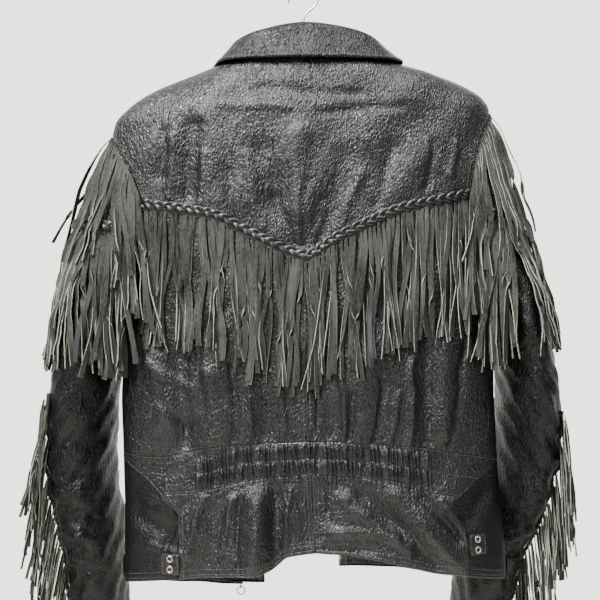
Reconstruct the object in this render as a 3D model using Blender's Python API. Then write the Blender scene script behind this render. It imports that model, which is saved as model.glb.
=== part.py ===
"""A black leather fringe jacket that hangs on a hanger, back view towards -Y.

Metres, +Z up, the wearer faces +Y and the wearer's right is +X.
The origin is the inside top of the hanger's hook, where a rail carries it.
"""

import functools
import math
from collections import namedtuple

import bmesh
import bpy
from mathutils import Matrix, Vector

# Driving dimensions
LEATHER = 0.0016            # wall of every panel
SEAM_GAP = 0.0003           # between the edges of two pieces at a seam
FRINGE_LEATHER = 0.0012     # thickness of a strand
BACK_FRINGE_LENGTH = 0.180
CAP_FRINGE_LENGTH = 0.165
ARM_FRINGE_LENGTH = 0.185
CUFF_FRINGE_LENGTH = 0.125
CUFF_FRINGE_SLOPE = {"left": 0.22, "right": 0.10}
BRAID_WIDTH = 0.013
BRAID_HEIGHT = 0.0045
GATHERS = 44                # ridges across the elastic waist
GATHER_DEPTH = 0.0020
EYELET_RADIUS = 0.0047
EYELET_HOLE = 0.0023
ARM_BRAID_REACH = 4.6       # columns of the sleeve from the middle of its braid's V to its end
ARM_BRAID_DROP = 0.110
HOOK_RADIUS = 0.0190        # inside of the hook's bend
HOOK_WIRE = 0.0015
PULL_RING_RADIUS = 0.0053
PULL_RING_WIRE = 0.0007

QUARTER = math.pi / 2


def table(columns, *rows):
    row = namedtuple("Row", columns)
    return [row(*values) for values in rows]


# The torso, a section for each height: where its sides are, and how far back and front it reaches.
TORSO = table(
    "height left right back front square",
    (-0.8300, -0.2350, 0.2680, 0.0760, 0.0600, 2.5),
    (-0.7600, -0.2350, 0.2670, 0.0770, 0.0600, 2.5),
    (-0.7000, -0.2355, 0.2620, 0.0720, 0.0600, 2.6),
    (-0.6400, -0.2365, 0.2570, 0.0640, 0.0590, 2.7),
    (-0.5486, -0.2390, 0.2520, 0.0700, 0.0620, 2.8),
    (-0.4550, -0.2330, 0.2500, 0.0740, 0.0630, 2.8),
    (-0.3600, -0.2390, 0.2480, 0.0720, 0.0620, 2.6),
    (-0.2600, -0.2470, 0.2470, 0.0680, 0.0600, 2.5),
    (-0.2180, -0.2525, 0.2470, 0.0650, 0.0580, 2.4),
    (-0.1890, -0.2470, 0.2470, 0.0620, 0.0560, 2.3),
    (-0.1700, -0.2300, 0.2450, 0.0600, 0.0540, 2.3),
    (-0.1560, -0.2110, 0.2360, 0.0580, 0.0530, 2.3),
    (-0.1440, -0.1890, 0.2190, 0.0560, 0.0520, 2.3),
    (-0.1340, -0.1665, 0.1990, 0.0540, 0.0510, 2.3),
    (-0.1250, -0.1440, 0.1735, 0.0520, 0.0490, 2.3),
    (-0.1170, -0.1240, 0.1480, 0.0500, 0.0470, 2.3),
    (-0.1095, -0.1050, 0.1230, 0.0470, 0.0440, 2.3),
    (-0.1030, -0.0880, 0.0980, 0.0440, 0.0420, 2.3),
)

# Heights of the seam lines across the back. Share is 0 at the centre and 1 at the panel's side.
YOKE_SEAM = table(
    "share left right",
    (0.00, -0.3670, -0.3670),
    (0.15, -0.3530, -0.3420),
    (0.30, -0.3340, -0.3240),
    (0.50, -0.3120, -0.3040),
    (0.70, -0.3050, -0.2946),
    (1.00, -0.2980, -0.2830),
)
WAIST_TOP = table(
    "share left right",
    (0.00, -0.6026, -0.6026),
    (0.30, -0.6080, -0.6070),
    (0.60, -0.6240, -0.6200),
    (1.00, -0.6185, -0.6320),
)
WAIST_FOOT = table(
    "share left right",
    (0.00, -0.6426, -0.6426),
    (0.35, -0.6510, -0.6500),
    (0.75, -0.6680, -0.6670),
    (1.00, -0.6720, -0.6740),
)
HEM = table(
    "share left right",
    (0.00, -0.7430, -0.7430),
    (0.18, -0.7480, -0.7450),
    (0.30, -0.7660, -0.7500),
    (0.50, -0.7720, -0.7590),
    (0.75, -0.7760, -0.7710),
    (1.00, -0.7790, -0.7770),
)

# How far the side panel reaches onto the back and onto the front, in radians round the torso.
SIDE_PANEL = table(
    "below left_back right_back front",
    (0.000, 0.022, 0.022, 0.022),
    (0.012, 0.240, 0.330, 0.120),
    (0.034, 0.540, 0.650, 0.240),
    (0.055, 0.690, 0.780, 0.330),
    (0.085, 0.800, 0.690, 0.420),
    (0.210, 0.790, 0.660, 0.450),
)

# Where each side's armhole starts and ends, and how deep it cuts into the panels, in radians.
Armhole = namedtuple("Armhole", "shoulder underarm cut")
ARMHOLES = {"left": Armhole(-0.2050, -0.4550, 0.55), "right": Armhole(-0.1730, -0.4400, 0.50)}
SIDES = {"left": -1, "right": 1}

# The front edges, which hang open, and the heights of the fronts' corners at the opening.
Front = namedtuple("Front", "top_x foot_x neck hem")
FRONTS = {"left": Front(-0.0700, -0.0930, -0.1500, -0.8100), "right": Front(0.0740, 0.0600, -0.1500, -0.7860)}
ZIP_TAPE = 0.0100
FLAP_EDGE_X = -0.0520

# The largest folds. Depth is positive for a ridge and negative for a trough.
BACK_FOLDS = table(
    "x0 z0 x1 z1 width depth",
    (-0.141, -0.200, -0.144, -0.285, 0.014, -0.0060),
    (-0.122, -0.190, -0.118, -0.290, 0.016, 0.0040),
    (-0.052, -0.230, -0.018, -0.345, 0.016, -0.0060),
    (-0.004, -0.210, -0.006, -0.335, 0.014, 0.0050),
    (0.053, -0.240, 0.016, -0.345, 0.016, -0.0060),
    (0.150, -0.230, 0.130, -0.280, 0.020, 0.0030),
    (-0.160, -0.500, -0.152, -0.610, 0.014, -0.0080),
    (-0.118, -0.520, -0.112, -0.600, 0.018, 0.0070),
    (-0.048, -0.500, -0.046, -0.595, 0.012, -0.0060),
    (0.030, -0.480, 0.034, -0.590, 0.014, -0.0050),
    (0.085, -0.500, 0.070, -0.600, 0.018, 0.0060),
    (0.158, -0.460, 0.162, -0.600, 0.014, -0.0090),
    (0.180, -0.480, 0.176, -0.590, 0.015, 0.0060),
    (-0.205, -0.470, -0.170, -0.560, 0.018, 0.0060),
    (-0.058, -0.680, -0.062, -0.790, 0.016, 0.0160),
    (-0.036, -0.670, -0.036, -0.780, 0.010, -0.0080),
    (-0.110, -0.700, -0.128, -0.790, 0.018, -0.0060),
    (0.052, -0.675, 0.135, -0.735, 0.010, 0.0070),
    (0.078, -0.672, 0.172, -0.760, 0.012, -0.0080),
    (0.120, -0.672, 0.192, -0.755, 0.014, 0.0080),
    (0.010, -0.680, 0.014, -0.750, 0.016, -0.0050),
    (0.240, -0.660, 0.215, -0.700, 0.016, -0.0060),
    (-0.215, -0.700, -0.180, -0.715, 0.012, -0.0050),
)
FRONT_FOLDS = table(
    "x0 z0 x1 z1 width depth",
    (-0.160, -0.240, -0.140, -0.420, 0.020, -0.0050),
    (-0.110, -0.300, -0.100, -0.520, 0.020, 0.0050),
    (-0.200, -0.480, -0.130, -0.620, 0.018, -0.0060),
    (-0.150, -0.640, -0.140, -0.800, 0.020, 0.0070),
    (0.160, -0.230, 0.150, -0.400, 0.020, -0.0050),
    (0.110, -0.320, 0.115, -0.560, 0.020, 0.0050),
    (0.210, -0.470, 0.140, -0.610, 0.018, -0.0060),
    (0.150, -0.640, 0.130, -0.790, 0.020, 0.0070),
)

# The sleeves below the underarm: middle line, half sizes, and the turn of the long way, in radians.
SLEEVES = {
    "left": table(
        "height x y across along turn",
        (-0.4800, -0.2850, 0.0060, 0.0400, 0.0800, 0.05),
        (-0.5486, -0.2910, 0.0120, 0.0430, 0.0780, 0.10),
        (-0.6400, -0.2960, 0.0240, 0.0430, 0.0720, 0.15),
        (-0.7400, -0.2830, 0.0450, 0.0380, 0.0650, 0.20),
        (-0.8000, -0.2810, 0.0580, 0.0360, 0.0590, 0.20),
        (-0.8700, -0.2710, 0.0700, 0.0350, 0.0530, 0.20),
    ),
    "right": table(
        "height x y across along turn",
        (-0.4800, 0.2910, 0.0080, 0.0335, 0.0840, 0.08),
        (-0.5486, 0.2990, 0.0160, 0.0350, 0.0820, 0.15),
        (-0.6120, 0.2980, 0.0320, 0.0360, 0.0780, 0.28),
        (-0.6880, 0.2850, 0.0600, 0.0360, 0.0700, 0.36),
        (-0.7645, 0.2640, 0.0880, 0.0360, 0.0620, 0.36),
        (-0.8100, 0.2540, 0.1000, 0.0360, 0.0580, 0.32),
        (-0.8750, 0.2430, 0.1120, 0.0350, 0.0530, 0.28),
    ),
}
SLEEVE_SETTING = 0.30       # share of the sleeve's length between the armhole and the first section
SETTING_ROWS = (0.0, 0.10, 0.28, 0.52, 0.78)
TUBE_ROWS = 8
SLEEVE_LEAVE = {"left": 0.56, "right": 0.36}    # how far outward a sleeve starts at its armhole
SLEEVE_FOLDS = table(
    "round along spread length depth",
    (0.20, 0.52, 0.10, 0.020, -0.0050),
    (0.26, 0.60, 0.12, 0.018, -0.0060),
    (0.30, 0.70, 0.10, 0.016, -0.0050),
    (0.24, 0.79, 0.12, 0.016, -0.0050),
    (0.25, 0.65, 0.12, 0.016, 0.0040),
    (0.22, 0.745, 0.12, 0.016, 0.0040),
    (0.75, 0.58, 0.12, 0.020, -0.0060),
    (0.75, 0.68, 0.12, 0.020, -0.0050),
)
SLEEVE_SEAMS = (2, 10)      # columns of the sleeve where its two pieces meet

# The collar's fold and edge. Station is 0 at the back, 1 at a shoulder and 2 at a front corner.
COLLAR = table(
    "station fold_x fold_y fold_z edge_x edge_y edge_z",
    (-1.95, -0.0700, 0.0475, -0.1330, -0.0950, 0.0690, -0.1850),
    (-1.45, -0.0790, 0.0400, -0.1080, -0.1150, 0.0650, -0.1480),
    (-1.20, -0.0820, 0.0200, -0.0925, -0.1230, 0.0390, -0.1210),
    (-1.00, -0.0830, -0.0010, -0.0845, -0.1190, -0.0020, -0.1110),
    (-0.57, -0.0640, -0.0270, -0.0730, -0.0920, -0.0450, -0.1100),
    (0.00, 0.0030, -0.0370, -0.0610, 0.0030, -0.0580, -0.1095),
    (0.57, 0.0720, -0.0270, -0.0710, 0.1000, -0.0460, -0.1095),
    (1.00, 0.0910, -0.0010, -0.0850, 0.1330, -0.0020, -0.1075),
    (1.20, 0.0900, 0.0200, -0.0925, 0.1330, 0.0410, -0.1180),
    (1.45, 0.0850, 0.0420, -0.1070, 0.1220, 0.0680, -0.1470),
    (1.95, 0.0740, 0.0475, -0.1305, 0.1010, 0.0710, -0.1830),
)

# The lacing tabs at the hem, each with two eyelets: the side panel's column and the height of the tab's middle.
SIDE_COLUMNS = 6
TABS = {
    "tab_back_left": ("left", 0.30, -0.7590),
    "tab_front_left": ("left", 4.10, -0.7720),
    "tab_back_right": ("right", 0.55, -0.7360),
    "tab_front_right": ("right", 3.75, -0.7760),
}
SIDE_HEM_DROP = 0.022       # how much lower the hem is at the front end of a side panel
TAB_WIDTH = 0.0250
TAB_DEPTH = 0.0270
EYELET_SPACING = 0.0135

BLACK_LEATHER = ("black_leather", (0.010, 0.010, 0.010), 0.45, 0.0)
SUEDE_FRINGE = ("suede_fringe", (0.060, 0.062, 0.050), 0.85, 0.0)
BRAIDED_LEATHER = ("braided_leather", (0.012, 0.012, 0.012), 0.35, 0.0)
ZIP_CLOTH = ("zip_tape", (0.008, 0.008, 0.008), 0.90, 0.0)
NICKEL = ("nickel", (0.620, 0.600, 0.540), 0.25, 1.0)
STEEL_WIRE = ("steel_wire", (0.550, 0.550, 0.560), 0.25, 1.0)
HANGER_PLASTIC = ("hanger_plastic", (0.012, 0.012, 0.012), 0.50, 0.0)


# Curves and surfaces

def mix(a, b, share):
    return a + (b - a) * share


def slope(rows, key, column, index):
    """Slope of a column at a row, flat where the values turn round, so that the curve never overshoots."""
    if index in (0, len(rows) - 1):
        near = rows[1 if index == 0 else index - 1]
        here = rows[index]
        return (getattr(near, column) - getattr(here, column)) / (getattr(near, key) - getattr(here, key))
    before, here, after = rows[index - 1], rows[index], rows[index + 1]
    first = (getattr(here, column) - getattr(before, column)) / (getattr(here, key) - getattr(before, key))
    second = (getattr(after, column) - getattr(here, column)) / (getattr(after, key) - getattr(here, key))
    if first * second <= 0:
        return 0.0
    return 2 * first * second / (first + second)


def smooth(rows, key, column, at):
    """Value of a column on a smooth curve through the rows, held level past its ends."""
    if getattr(rows[0], key) > getattr(rows[-1], key):
        return smooth(rows[::-1], key, column, at)
    if at <= getattr(rows[0], key):
        return getattr(rows[0], column)
    if at >= getattr(rows[-1], key):
        return getattr(rows[-1], column)
    index = max(i for i, row in enumerate(rows[:-1]) if getattr(row, key) <= at)
    low, high = rows[index], rows[index + 1]
    span = getattr(high, key) - getattr(low, key)
    t = (at - getattr(low, key)) / span
    rise = slope(rows, key, column, index) * span
    fall = slope(rows, key, column, index + 1) * span
    return (
        getattr(low, column) * (2 * t**3 - 3 * t**2 + 1)
        + rise * (t**3 - 2 * t**2 + t)
        + getattr(high, column) * (3 * t**2 - 2 * t**3)
        + fall * (t**3 - t**2)
    )


@functools.cache
def torso_section(height):
    """The torso's middle, half width, depths and squareness at a height."""
    left, right, back, front, square = (
        smooth(TORSO, "height", column, height) for column in ("left", "right", "back", "front", "square")
    )
    return (left + right) / 2, (right - left) / 2, back, front, square


def turn_at(x, height, front=False):
    """Where round the torso a given x lies: 0 at the back's middle, a half turn at the front's."""
    middle, half = torso_section(height)[:2]
    turn = math.asin(max(-1.0, min(1.0, (x - middle) / half)))
    if not front:
        return turn
    return math.copysign(math.pi, turn) - turn


def plain_torso(turn, height):
    middle, half, back, front, square = torso_section(height)
    across = math.sin(turn)
    deep = max(0.0, 1 - abs(across) ** square) ** (1 / square)
    if math.cos(turn) > 0:
        return Vector((middle + half * across, -back * deep, height))
    return Vector((middle + half * across, front * deep, height))


def normal_of(surface, u, v, du=0.004, dv=0.0015):
    """Outward normal of a surface whose u runs to the right as seen from outside and v runs up."""
    along = surface(u + du, v) - surface(u - du, v)
    up = surface(u, v + dv) - surface(u, v - dv)
    return along.cross(up).normalized()


def fold_height(folds, x, z):
    """Sum of the folds at a place, each a soft ridge or trough round a straight line."""
    total = 0.0
    for fold in folds:
        run_x, run_z = fold.x1 - fold.x0, fold.z1 - fold.z0
        share = ((x - fold.x0) * run_x + (z - fold.z0) * run_z) / (run_x**2 + run_z**2)
        share = max(0.0, min(1.0, share))
        away = math.hypot(x - fold.x0 - share * run_x, z - fold.z0 - share * run_z)
        total += fold.depth * math.exp(-((away / fold.width) ** 2))
    return total


def torso(turn, height):
    """A point on the jacket's outside."""
    base = plain_torso(turn, height)
    facing = math.cos(turn)
    folds = BACK_FOLDS if facing > 0 else FRONT_FOLDS
    rise = fold_height(folds, base.x, height) * min(1.0, abs(facing) * 2.5)
    rise *= 1 - 0.75 * math.exp(-(((height + 0.632) / 0.024) ** 2))
    return base + normal_of(plain_torso, turn, height) * rise


# Sheets: rows of points and of normals. A place on a sheet is a column and a row, which may be fractions.

Sheet = namedtuple("Sheet", "points normals")


def torso_sheet(grid):
    points = [[torso(turn, height) for turn, height in row] for row in grid]
    normals = [[normal_of(torso, turn, height) for turn, height in row] for row in grid]
    return Sheet(points, normals)


def straightened(sheet, column, foot):
    """Every second point of the waist band's end, moved onto the line between its neighbours."""
    for row in range(foot + 1, foot + BAND_ROWS, 2):
        for rows in sheet:
            rows[row][column] = (rows[row - 1][column] + rows[row + 1][column]) / 2


def columns_of(sheet, first, last):
    return Sheet(*([row[first:last + 1] for row in rows] for rows in sheet))


def between(row, column):
    low = max(0, min(int(column), len(row) - 2))
    return row[low].lerp(row[low + 1], column - low)


def on_sheet(sheet, column, row, out=0.0):
    """A point on the flat triangles of a sheet, moved out along the normal."""
    i = max(0, min(int(column), len(sheet.points[0]) - 2))
    j = max(0, min(int(row), len(sheet.points) - 2))
    near, far = sheet.points[j], sheet.points[j + 1]
    across, along = column - i, row - j
    if across > along:
        point = near[i] + (near[i + 1] - near[i]) * across + (far[i + 1] - near[i + 1]) * along
    else:
        point = near[i] + (far[i] - near[i]) * along + (far[i + 1] - far[i]) * across
    return point + sheet_normal(sheet, column, row) * out


def sheet_normal(sheet, column, row):
    low = max(0, min(int(row), len(sheet.normals) - 2))
    return between(sheet.normals[low], column).lerp(between(sheet.normals[low + 1], column), row - low).normalized()


def walk(sheet, column, row, distance, way):
    """The row that lies a distance from another along one column, up the rows or down them."""
    while True:
        following = math.floor(row) + 1 if way > 0 else math.ceil(row) - 1
        if following < 0 or following > len(sheet.points) - 1:
            return row
        length = (on_sheet(sheet, column, following) - on_sheet(sheet, column, row)).length
        if length >= distance:
            return mix(row, following, distance / length)
        distance -= length
        row = following


# Seam lines and the rows of panel points between them

def seam_line(rows, share):
    """Height of a seam line at a share of the way from the centre, negative on the left."""
    return smooth(rows, "share", "left" if share < 0 else "right", abs(share))


def even(steps):
    return [i / steps for i in range(steps + 1)]


def knee(below, above, knee_share):
    """Shares of the way up a panel, with one row exactly at the knee."""
    return [knee_share * i / below for i in range(below)] + [mix(knee_share, 1.0, share) for share in even(above)]


NECK_HEIGHT = TORSO[-1].height
PEPLUM_ROWS = 4
BAND_ROWS = 4
LOWER_ROWS = (4, 4)         # below and above the underarm
YOKE_ROWS = (4, 4)          # below and above the shoulder point
HALF_COLUMNS = 14
FRONT_COLUMNS = 5


def lower_shares(side):
    foot, top = seam_line(WAIST_TOP, SIDES[side]), seam_line(YOKE_SEAM, SIDES[side])
    return knee(*LOWER_ROWS, (ARMHOLES[side].underarm - foot) / (top - foot))


def yoke_shares(side):
    foot = seam_line(YOKE_SEAM, SIDES[side])
    return knee(*YOKE_ROWS, (ARMHOLES[side].shoulder - foot) / (NECK_HEIGHT - foot))


def section_heights(foot, top, left_shares, right_shares, share):
    """Heights of a panel's rows at one share across the back."""
    low = seam_line(foot, share)
    high = seam_line(top, share) if top else NECK_HEIGHT
    across = (share + 1) / 2
    return [mix(low, high, mix(a, b, across)) for a, b in zip(left_shares, right_shares)]


def peplum_heights(share):
    return section_heights(HEM, WAIST_FOOT, even(PEPLUM_ROWS), even(PEPLUM_ROWS), share)


def band_heights(share):
    return section_heights(WAIST_FOOT, WAIST_TOP, even(BAND_ROWS), even(BAND_ROWS), share)


def lower_heights(share):
    return section_heights(WAIST_TOP, YOKE_SEAM, lower_shares("left"), lower_shares("right"), share)


def yoke_heights(share):
    return section_heights(YOKE_SEAM, None, yoke_shares("left"), yoke_shares("right"), share)


def armhole_cut(side, height):
    hole = ARMHOLES[side]
    q = (hole.shoulder - height) / (hole.shoulder - hole.underarm)
    if not 0 < q < 1:
        return 0.0
    return hole.cut * math.sin(math.pi * q**0.8) ** 0.8


def back_edge(side, height):
    """How far round from the centre a back panel reaches at a height."""
    below = seam_line(WAIST_TOP, SIDES[side]) - height
    if below > -1e-9:
        return QUARTER - smooth(SIDE_PANEL, "below", side + "_back", max(0.0, below))
    return QUARTER - armhole_cut(side, height)


def front_edge(side, height):
    """How far round from the back's centre a front panel starts at a height."""
    below = seam_line(WAIST_TOP, SIDES[side]) - height
    if below > -1e-9:
        return QUARTER + smooth(SIDE_PANEL, "below", "front", max(0.0, below))
    return QUARTER + armhole_cut(side, height)


def back_grid(heights, columns=2 * HALF_COLUMNS):
    """Places of a back panel: rows from its foot up, columns from the left side to the right one."""
    edge_rows = {"left": heights(-1.0), "right": heights(1.0)}
    grid = []
    for row in range(len(edge_rows["left"])):
        places = []
        for column in range(columns + 1):
            share = 2 * column / columns - 1
            side = "left" if share < 0 else "right"
            places.append((share * back_edge(side, edge_rows[side][row]), heights(share)[row]))
        grid.append(places)
    return grid


def side_heights(side):
    """Every row height along a side of the body, from the hem to the neck, without repeats."""
    share = float(SIDES[side])
    parts = (band_heights(share), lower_heights(share), yoke_heights(share))
    return peplum_heights(share) + [height for part in parts for height in part[1:]]


def hem_drop(side, height, across):
    """How far a side panel's rows sink toward the front, most at the hem."""
    foot, top = seam_line(HEM, SIDES[side]), seam_line(WAIST_FOOT, SIDES[side])
    return SIDE_HEM_DROP * across * max(0.0, (top - height) / (top - foot))


def front_place(side, height, across):
    """A place on a front: across is 0 at the side seam and 1 at the opening edge."""
    front = FRONTS[side]
    foot = seam_line(HEM, SIDES[side])
    up = (height - foot) / (NECK_HEIGHT - foot)
    edge_height = mix(front.hem, front.neck, up)
    ease = across * across * (3 - 2 * across)
    there = mix(height - hem_drop(side, height, 1.0), edge_height, ease)
    edge_turn = abs(turn_at(mix(front.foot_x, front.top_x, up), edge_height, front=True))
    turn = mix(front_edge(side, height), edge_turn, across)
    rise = (height - ARMHOLES[side].shoulder) / (NECK_HEIGHT - ARMHOLES[side].shoulder)
    if rise > 0:
        neck_x = mix(getattr(TORSO[-1], side), front.top_x, across)
        neck_height = mix(NECK_HEIGHT, front.neck, ease)
        turn = mix(turn, abs(turn_at(neck_x, neck_height, front=True)), rise)
    return SIDES[side] * turn, there


def front_grid(side):
    return [[front_place(side, height, share) for share in even(FRONT_COLUMNS)] for height in side_heights(side)]


def side_panel_grid(side):
    share = float(SIDES[side])
    heights = peplum_heights(share) + band_heights(share)[1:]
    return [
        [
            (SIDES[side] * mix(back_edge(side, h), front_edge(side, h), part), h - hem_drop(side, h, part))
            for part in even(SIDE_COLUMNS)
        ]
        for h in heights
    ]


# Solids

def make_object(name, material, mesh_builder):
    mesh = bpy.data.meshes.new(name)
    bm = bmesh.new()
    mesh_builder(bm)
    bmesh.ops.recalc_face_normals(bm, faces=bm.faces)
    bm.to_mesh(mesh)
    bm.free()
    mesh.shade_smooth()
    mesh.set_sharp_from_angle(angle=math.radians(35))
    obj = bpy.data.objects.new(name, mesh)
    bpy.context.scene.collection.objects.link(obj)
    obj.data.materials.append(shared_material(material))
    return obj


def shared_material(finish):
    name, colour, roughness, metallic = finish
    material = bpy.data.materials.get(name)
    if material is None:
        material = bpy.data.materials.new(name)
        material.use_nodes = True
        shader = material.node_tree.nodes["Principled BSDF"]
        shader.inputs["Base Color"].default_value = (*colour, 1.0)
        shader.inputs["Roughness"].default_value = roughness
        shader.inputs["Metallic"].default_value = metallic
    return material


def drawn_in(points, edges="lrft", gap=SEAM_GAP / 2 + 0.00004):
    """A grid of points drawn in a little at its left, right, first and last edges, which leaves the seam gap."""
    rows = [list(row) for row in points]

    def pulled(line, inner):
        """A line of points moved square to itself toward the next line."""
        moved = []
        for k, (point, target) in enumerate(zip(line, inner)):
            run = (line[min(len(line) - 1, k + 1)] - line[max(0, k - 1)]).normalized()
            way = target - point
            moved.append(point + (way - run * way.dot(run)).normalized() * gap)
        return moved

    for key, column, following in (("l", 0, 1), ("r", -1, -2)):
        if key in edges:
            line = pulled([row[column] for row in rows], [row[following] for row in rows])
            for row, point in zip(rows, line):
                row[column] = point
    if "f" in edges:
        rows[0] = pulled(rows[0], rows[1])
    if "t" in edges:
        rows[-1] = pulled(rows[-1], rows[-2])
    return rows


def closed_wall(outer, inner):
    """A closed wall between an outer grid and an inner one, which may have only its first and last rows."""

    def build(bm):
        out = [[bm.verts.new(p) for p in row] for row in outer]
        ins = [[bm.verts.new(p) for p in row] for row in inner]
        for grid in (out, ins):
            for low, high in zip(grid, grid[1:]):
                for i in range(len(low) - 1):
                    bm.faces.new((low[i], low[i + 1], high[i + 1]))
                    bm.faces.new((low[i], high[i + 1], high[i]))
        for edge_out, edge_in in ((out[0], ins[0]), (out[-1], ins[-1])):
            for i in range(len(edge_out) - 1):
                bm.faces.new((edge_out[i], edge_in[i], edge_in[i + 1], edge_out[i + 1]))
        for column in (0, -1):
            side_out = [row[column] for row in out]
            side_in = [row[column] for row in ins]
            if len(side_in) == len(side_out):
                for i in range(len(side_out) - 1):
                    bm.faces.new((side_out[i], side_out[i + 1], side_in[i + 1], side_in[i]))
            else:
                bm.faces.new((*side_out, *side_in[::-1]))

    return build


def moved_in(sheet, distance):
    return [
        [point - normal * distance for point, normal in zip(*rows)]
        for rows in zip(sheet.points, sheet.normals)
    ]


def panel(name, sheet, material=BLACK_LEATHER, thickness=LEATHER, edges="lrft"):
    """A wall whose outside is a sheet."""
    outer, inner = drawn_in(sheet.points, edges), drawn_in(moved_in(sheet, thickness), edges)
    return make_object(name, material, closed_wall(outer, inner))


# The body of the jacket

def along_edge(row, turns, turn):
    """The column of a row of places at which a given turn lies."""
    index = max(i for i in range(len(turns) - 1) if turns[i] <= turn + 1e-9)
    return index + (turn - turns[index]) / (turns[index + 1] - turns[index])


def filled(turns, steps):
    """The same turns with the widest steps between them halved until there are enough."""
    turns = list(turns)
    while len(turns) < steps + 1:
        wide = max(range(len(turns) - 1), key=lambda i: turns[i + 1] - turns[i])
        turns.insert(wide + 1, (turns[wide] + turns[wide + 1]) / 2)
    return turns


def build_waist_band(back, back_places, peplum, peplum_places):
    """Two shirred channels: ridges raised over a plain inside, pinched by the stitching at and between them."""
    start, end = turn_at(-0.141, -0.640), turn_at(0.166, -0.640)
    dips = [mix(start, end, i / (2 * GATHERS)) for i in range(2 * GATHERS + 1)]
    left, right = band_heights(-1.0), band_heights(1.0)
    plain_columns = 8
    points, normals = [], []
    for row in range(BAND_ROWS + 1):
        reach_left, reach_right = back_edge("left", left[row]), back_edge("right", right[row])
        neighbour = {0: (peplum, peplum_places, -1), BAND_ROWS: (back, back_places, 0)}.get(row)
        corners = [place[0] for place in neighbour[1][neighbour[2]]] if neighbour else []
        before = filled([-reach_left] + [t for t in corners[1:] if t < start - 0.01] + [start], plain_columns)
        after = filled([end] + [t for t in corners[:-1] if t > end + 0.01] + [reach_right], plain_columns)
        turns = before[:-1] + dips + after[1:]
        point_row, normal_row = [], []
        for turn in turns:
            if neighbour:
                sheet, places, edge = neighbour
                column = along_edge(places[edge], [place[0] for place in places[edge]], turn)
                point, normal = between(sheet.points[edge], column), between(sheet.normals[edge], column)
            else:
                height = band_heights(turn / (reach_left if turn < 0 else reach_right))[row]
                point, normal = torso(turn, height), normal_of(torso, turn, height)
            point_row.append(point)
            normal_row.append(normal.normalized())
        points.append(point_row)
        normals.append(normal_row)
    band = Sheet(points, normals)
    for column in (0, -1):
        straightened(band, column, 0)
    inner = drawn_in(moved_in(band, LEATHER))
    skived = inner[BAND_ROWS // 2]
    skived[0] = skived[0] + (skived[1] - skived[0]).normalized() * 0.0015
    skived[-1] = skived[-1] + (skived[-2] - skived[-1]).normalized() * 0.0015
    for row in range(BAND_ROWS + 1):
        full = 1.0 if row % 2 else 0.30
        for k in range(GATHERS):
            ridge = plain_columns + 1 + 2 * k
            points[row][ridge] = points[row][ridge] + normals[row][ridge] * GATHER_DEPTH * full
    wall = closed_wall(drawn_in(points), inner[::2])
    make_object("waist_band", BLACK_LEATHER, wall)


def build_torso():
    grids = {"yoke": yoke_heights, "back": lower_heights, "peplum": peplum_heights}
    places = {name: back_grid(heights) for name, heights in grids.items()}
    sheets = {name: torso_sheet(grid) for name, grid in places.items()}
    panel("yoke", sheets["yoke"])
    for name in ("back", "peplum"):
        panel(name + "_left", columns_of(sheets[name], 0, HALF_COLUMNS))
        panel(name + "_right", columns_of(sheets[name], HALF_COLUMNS, 2 * HALF_COLUMNS))
    build_waist_band(sheets["back"], places["back"], sheets["peplum"], places["peplum"])
    for side in SIDES:
        side_panel = torso_sheet(side_panel_grid(side))
        straightened(side_panel, 0, PEPLUM_ROWS)
        sheets["side_panel_" + side] = side_panel
        panel("side_panel_" + side, side_panel)
        sheets["front_" + side] = torso_sheet(front_grid(side))
        panel("front_" + side, sheets["front_" + side])
    return sheets


def build_opening(sheets):
    """Zip tapes beside the front edges, and the wind flap behind the left one."""
    for side, sign in SIDES.items():
        front = sheets["front_" + side]
        run = Vector((-sign * ZIP_TAPE, 0.0, 0.0))
        points = [[row[-1], row[-1] + run] for row in front.points]
        normals = [[row[-1], row[-1]] for row in front.normals]
        panel("zip_tape_" + side, Sheet(points, normals), ZIP_CLOTH, edges="l")
    front = sheets["front_left"]
    inset = LEATHER + SEAM_GAP + 0.0007
    outer = []
    for points, normals in list(zip(front.points, front.normals))[1:-1]:
        last = points[-1] - normals[-1] * inset
        root = points[-2].lerp(points[-1], 0.55) - normals[-2].lerp(normals[-1], 0.55).normalized() * inset
        reach = FLAP_EDGE_X - last.x
        outer.append([root, last, last + Vector((reach, -0.0040, 0.0))])
    inner = [[p - Vector((0.0, LEATHER, 0.0)) for p in row] for row in outer]
    make_object("wind_flap", BLACK_LEATHER, closed_wall(outer, inner))


def neck_seam(station):
    """A point on the neck seam, which follows the fronts down to their corners."""
    if abs(station) <= 1:
        return torso(station * QUARTER, NECK_HEIGHT)
    return torso(*front_place("left" if station < 0 else "right", NECK_HEIGHT, abs(station) - 1))


def build_collar(steps=18, rise=2, fall=3):
    """A fold-over collar: a stand from the neck seam up to the fold, and a leaf down over the shoulders."""
    up = Vector((0.0, 0.0, 1.0))

    def place(station, column):
        return Vector(smooth(COLLAR, "station", column + axis, station) for axis in ("_x", "_y", "_z"))

    outer, inner = [], []
    for share in even(steps):
        station = mix(COLLAR[0].station, COLLAR[-1].station, share)
        seam, fold, edge = neck_seam(station) + up * 0.0014, place(station, "fold"), place(station, "edge")
        away = Vector((fold.x, fold.y, 0.0)).normalized()
        stand_top = seam.lerp(fold, 0.80) - away * 0.0030
        leaf_top = fold.lerp(edge, 0.16) + away * 0.0040 + up * 0.0030
        profile = [seam.lerp(stand_top, part) for part in even(rise)]
        profile += [fold] + [leaf_top.lerp(edge, part) for part in even(fall)]
        under = []
        for k, point in enumerate(profile):
            run = profile[min(len(profile) - 1, k + 1)] - profile[max(0, k - 1)]
            under.append(point + up.cross(away).cross(run).normalized() * LEATHER)
        outer.append(profile)
        inner.append(under)
    make_object("collar", BLACK_LEATHER, closed_wall(outer, inner))


# Sleeves

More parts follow.
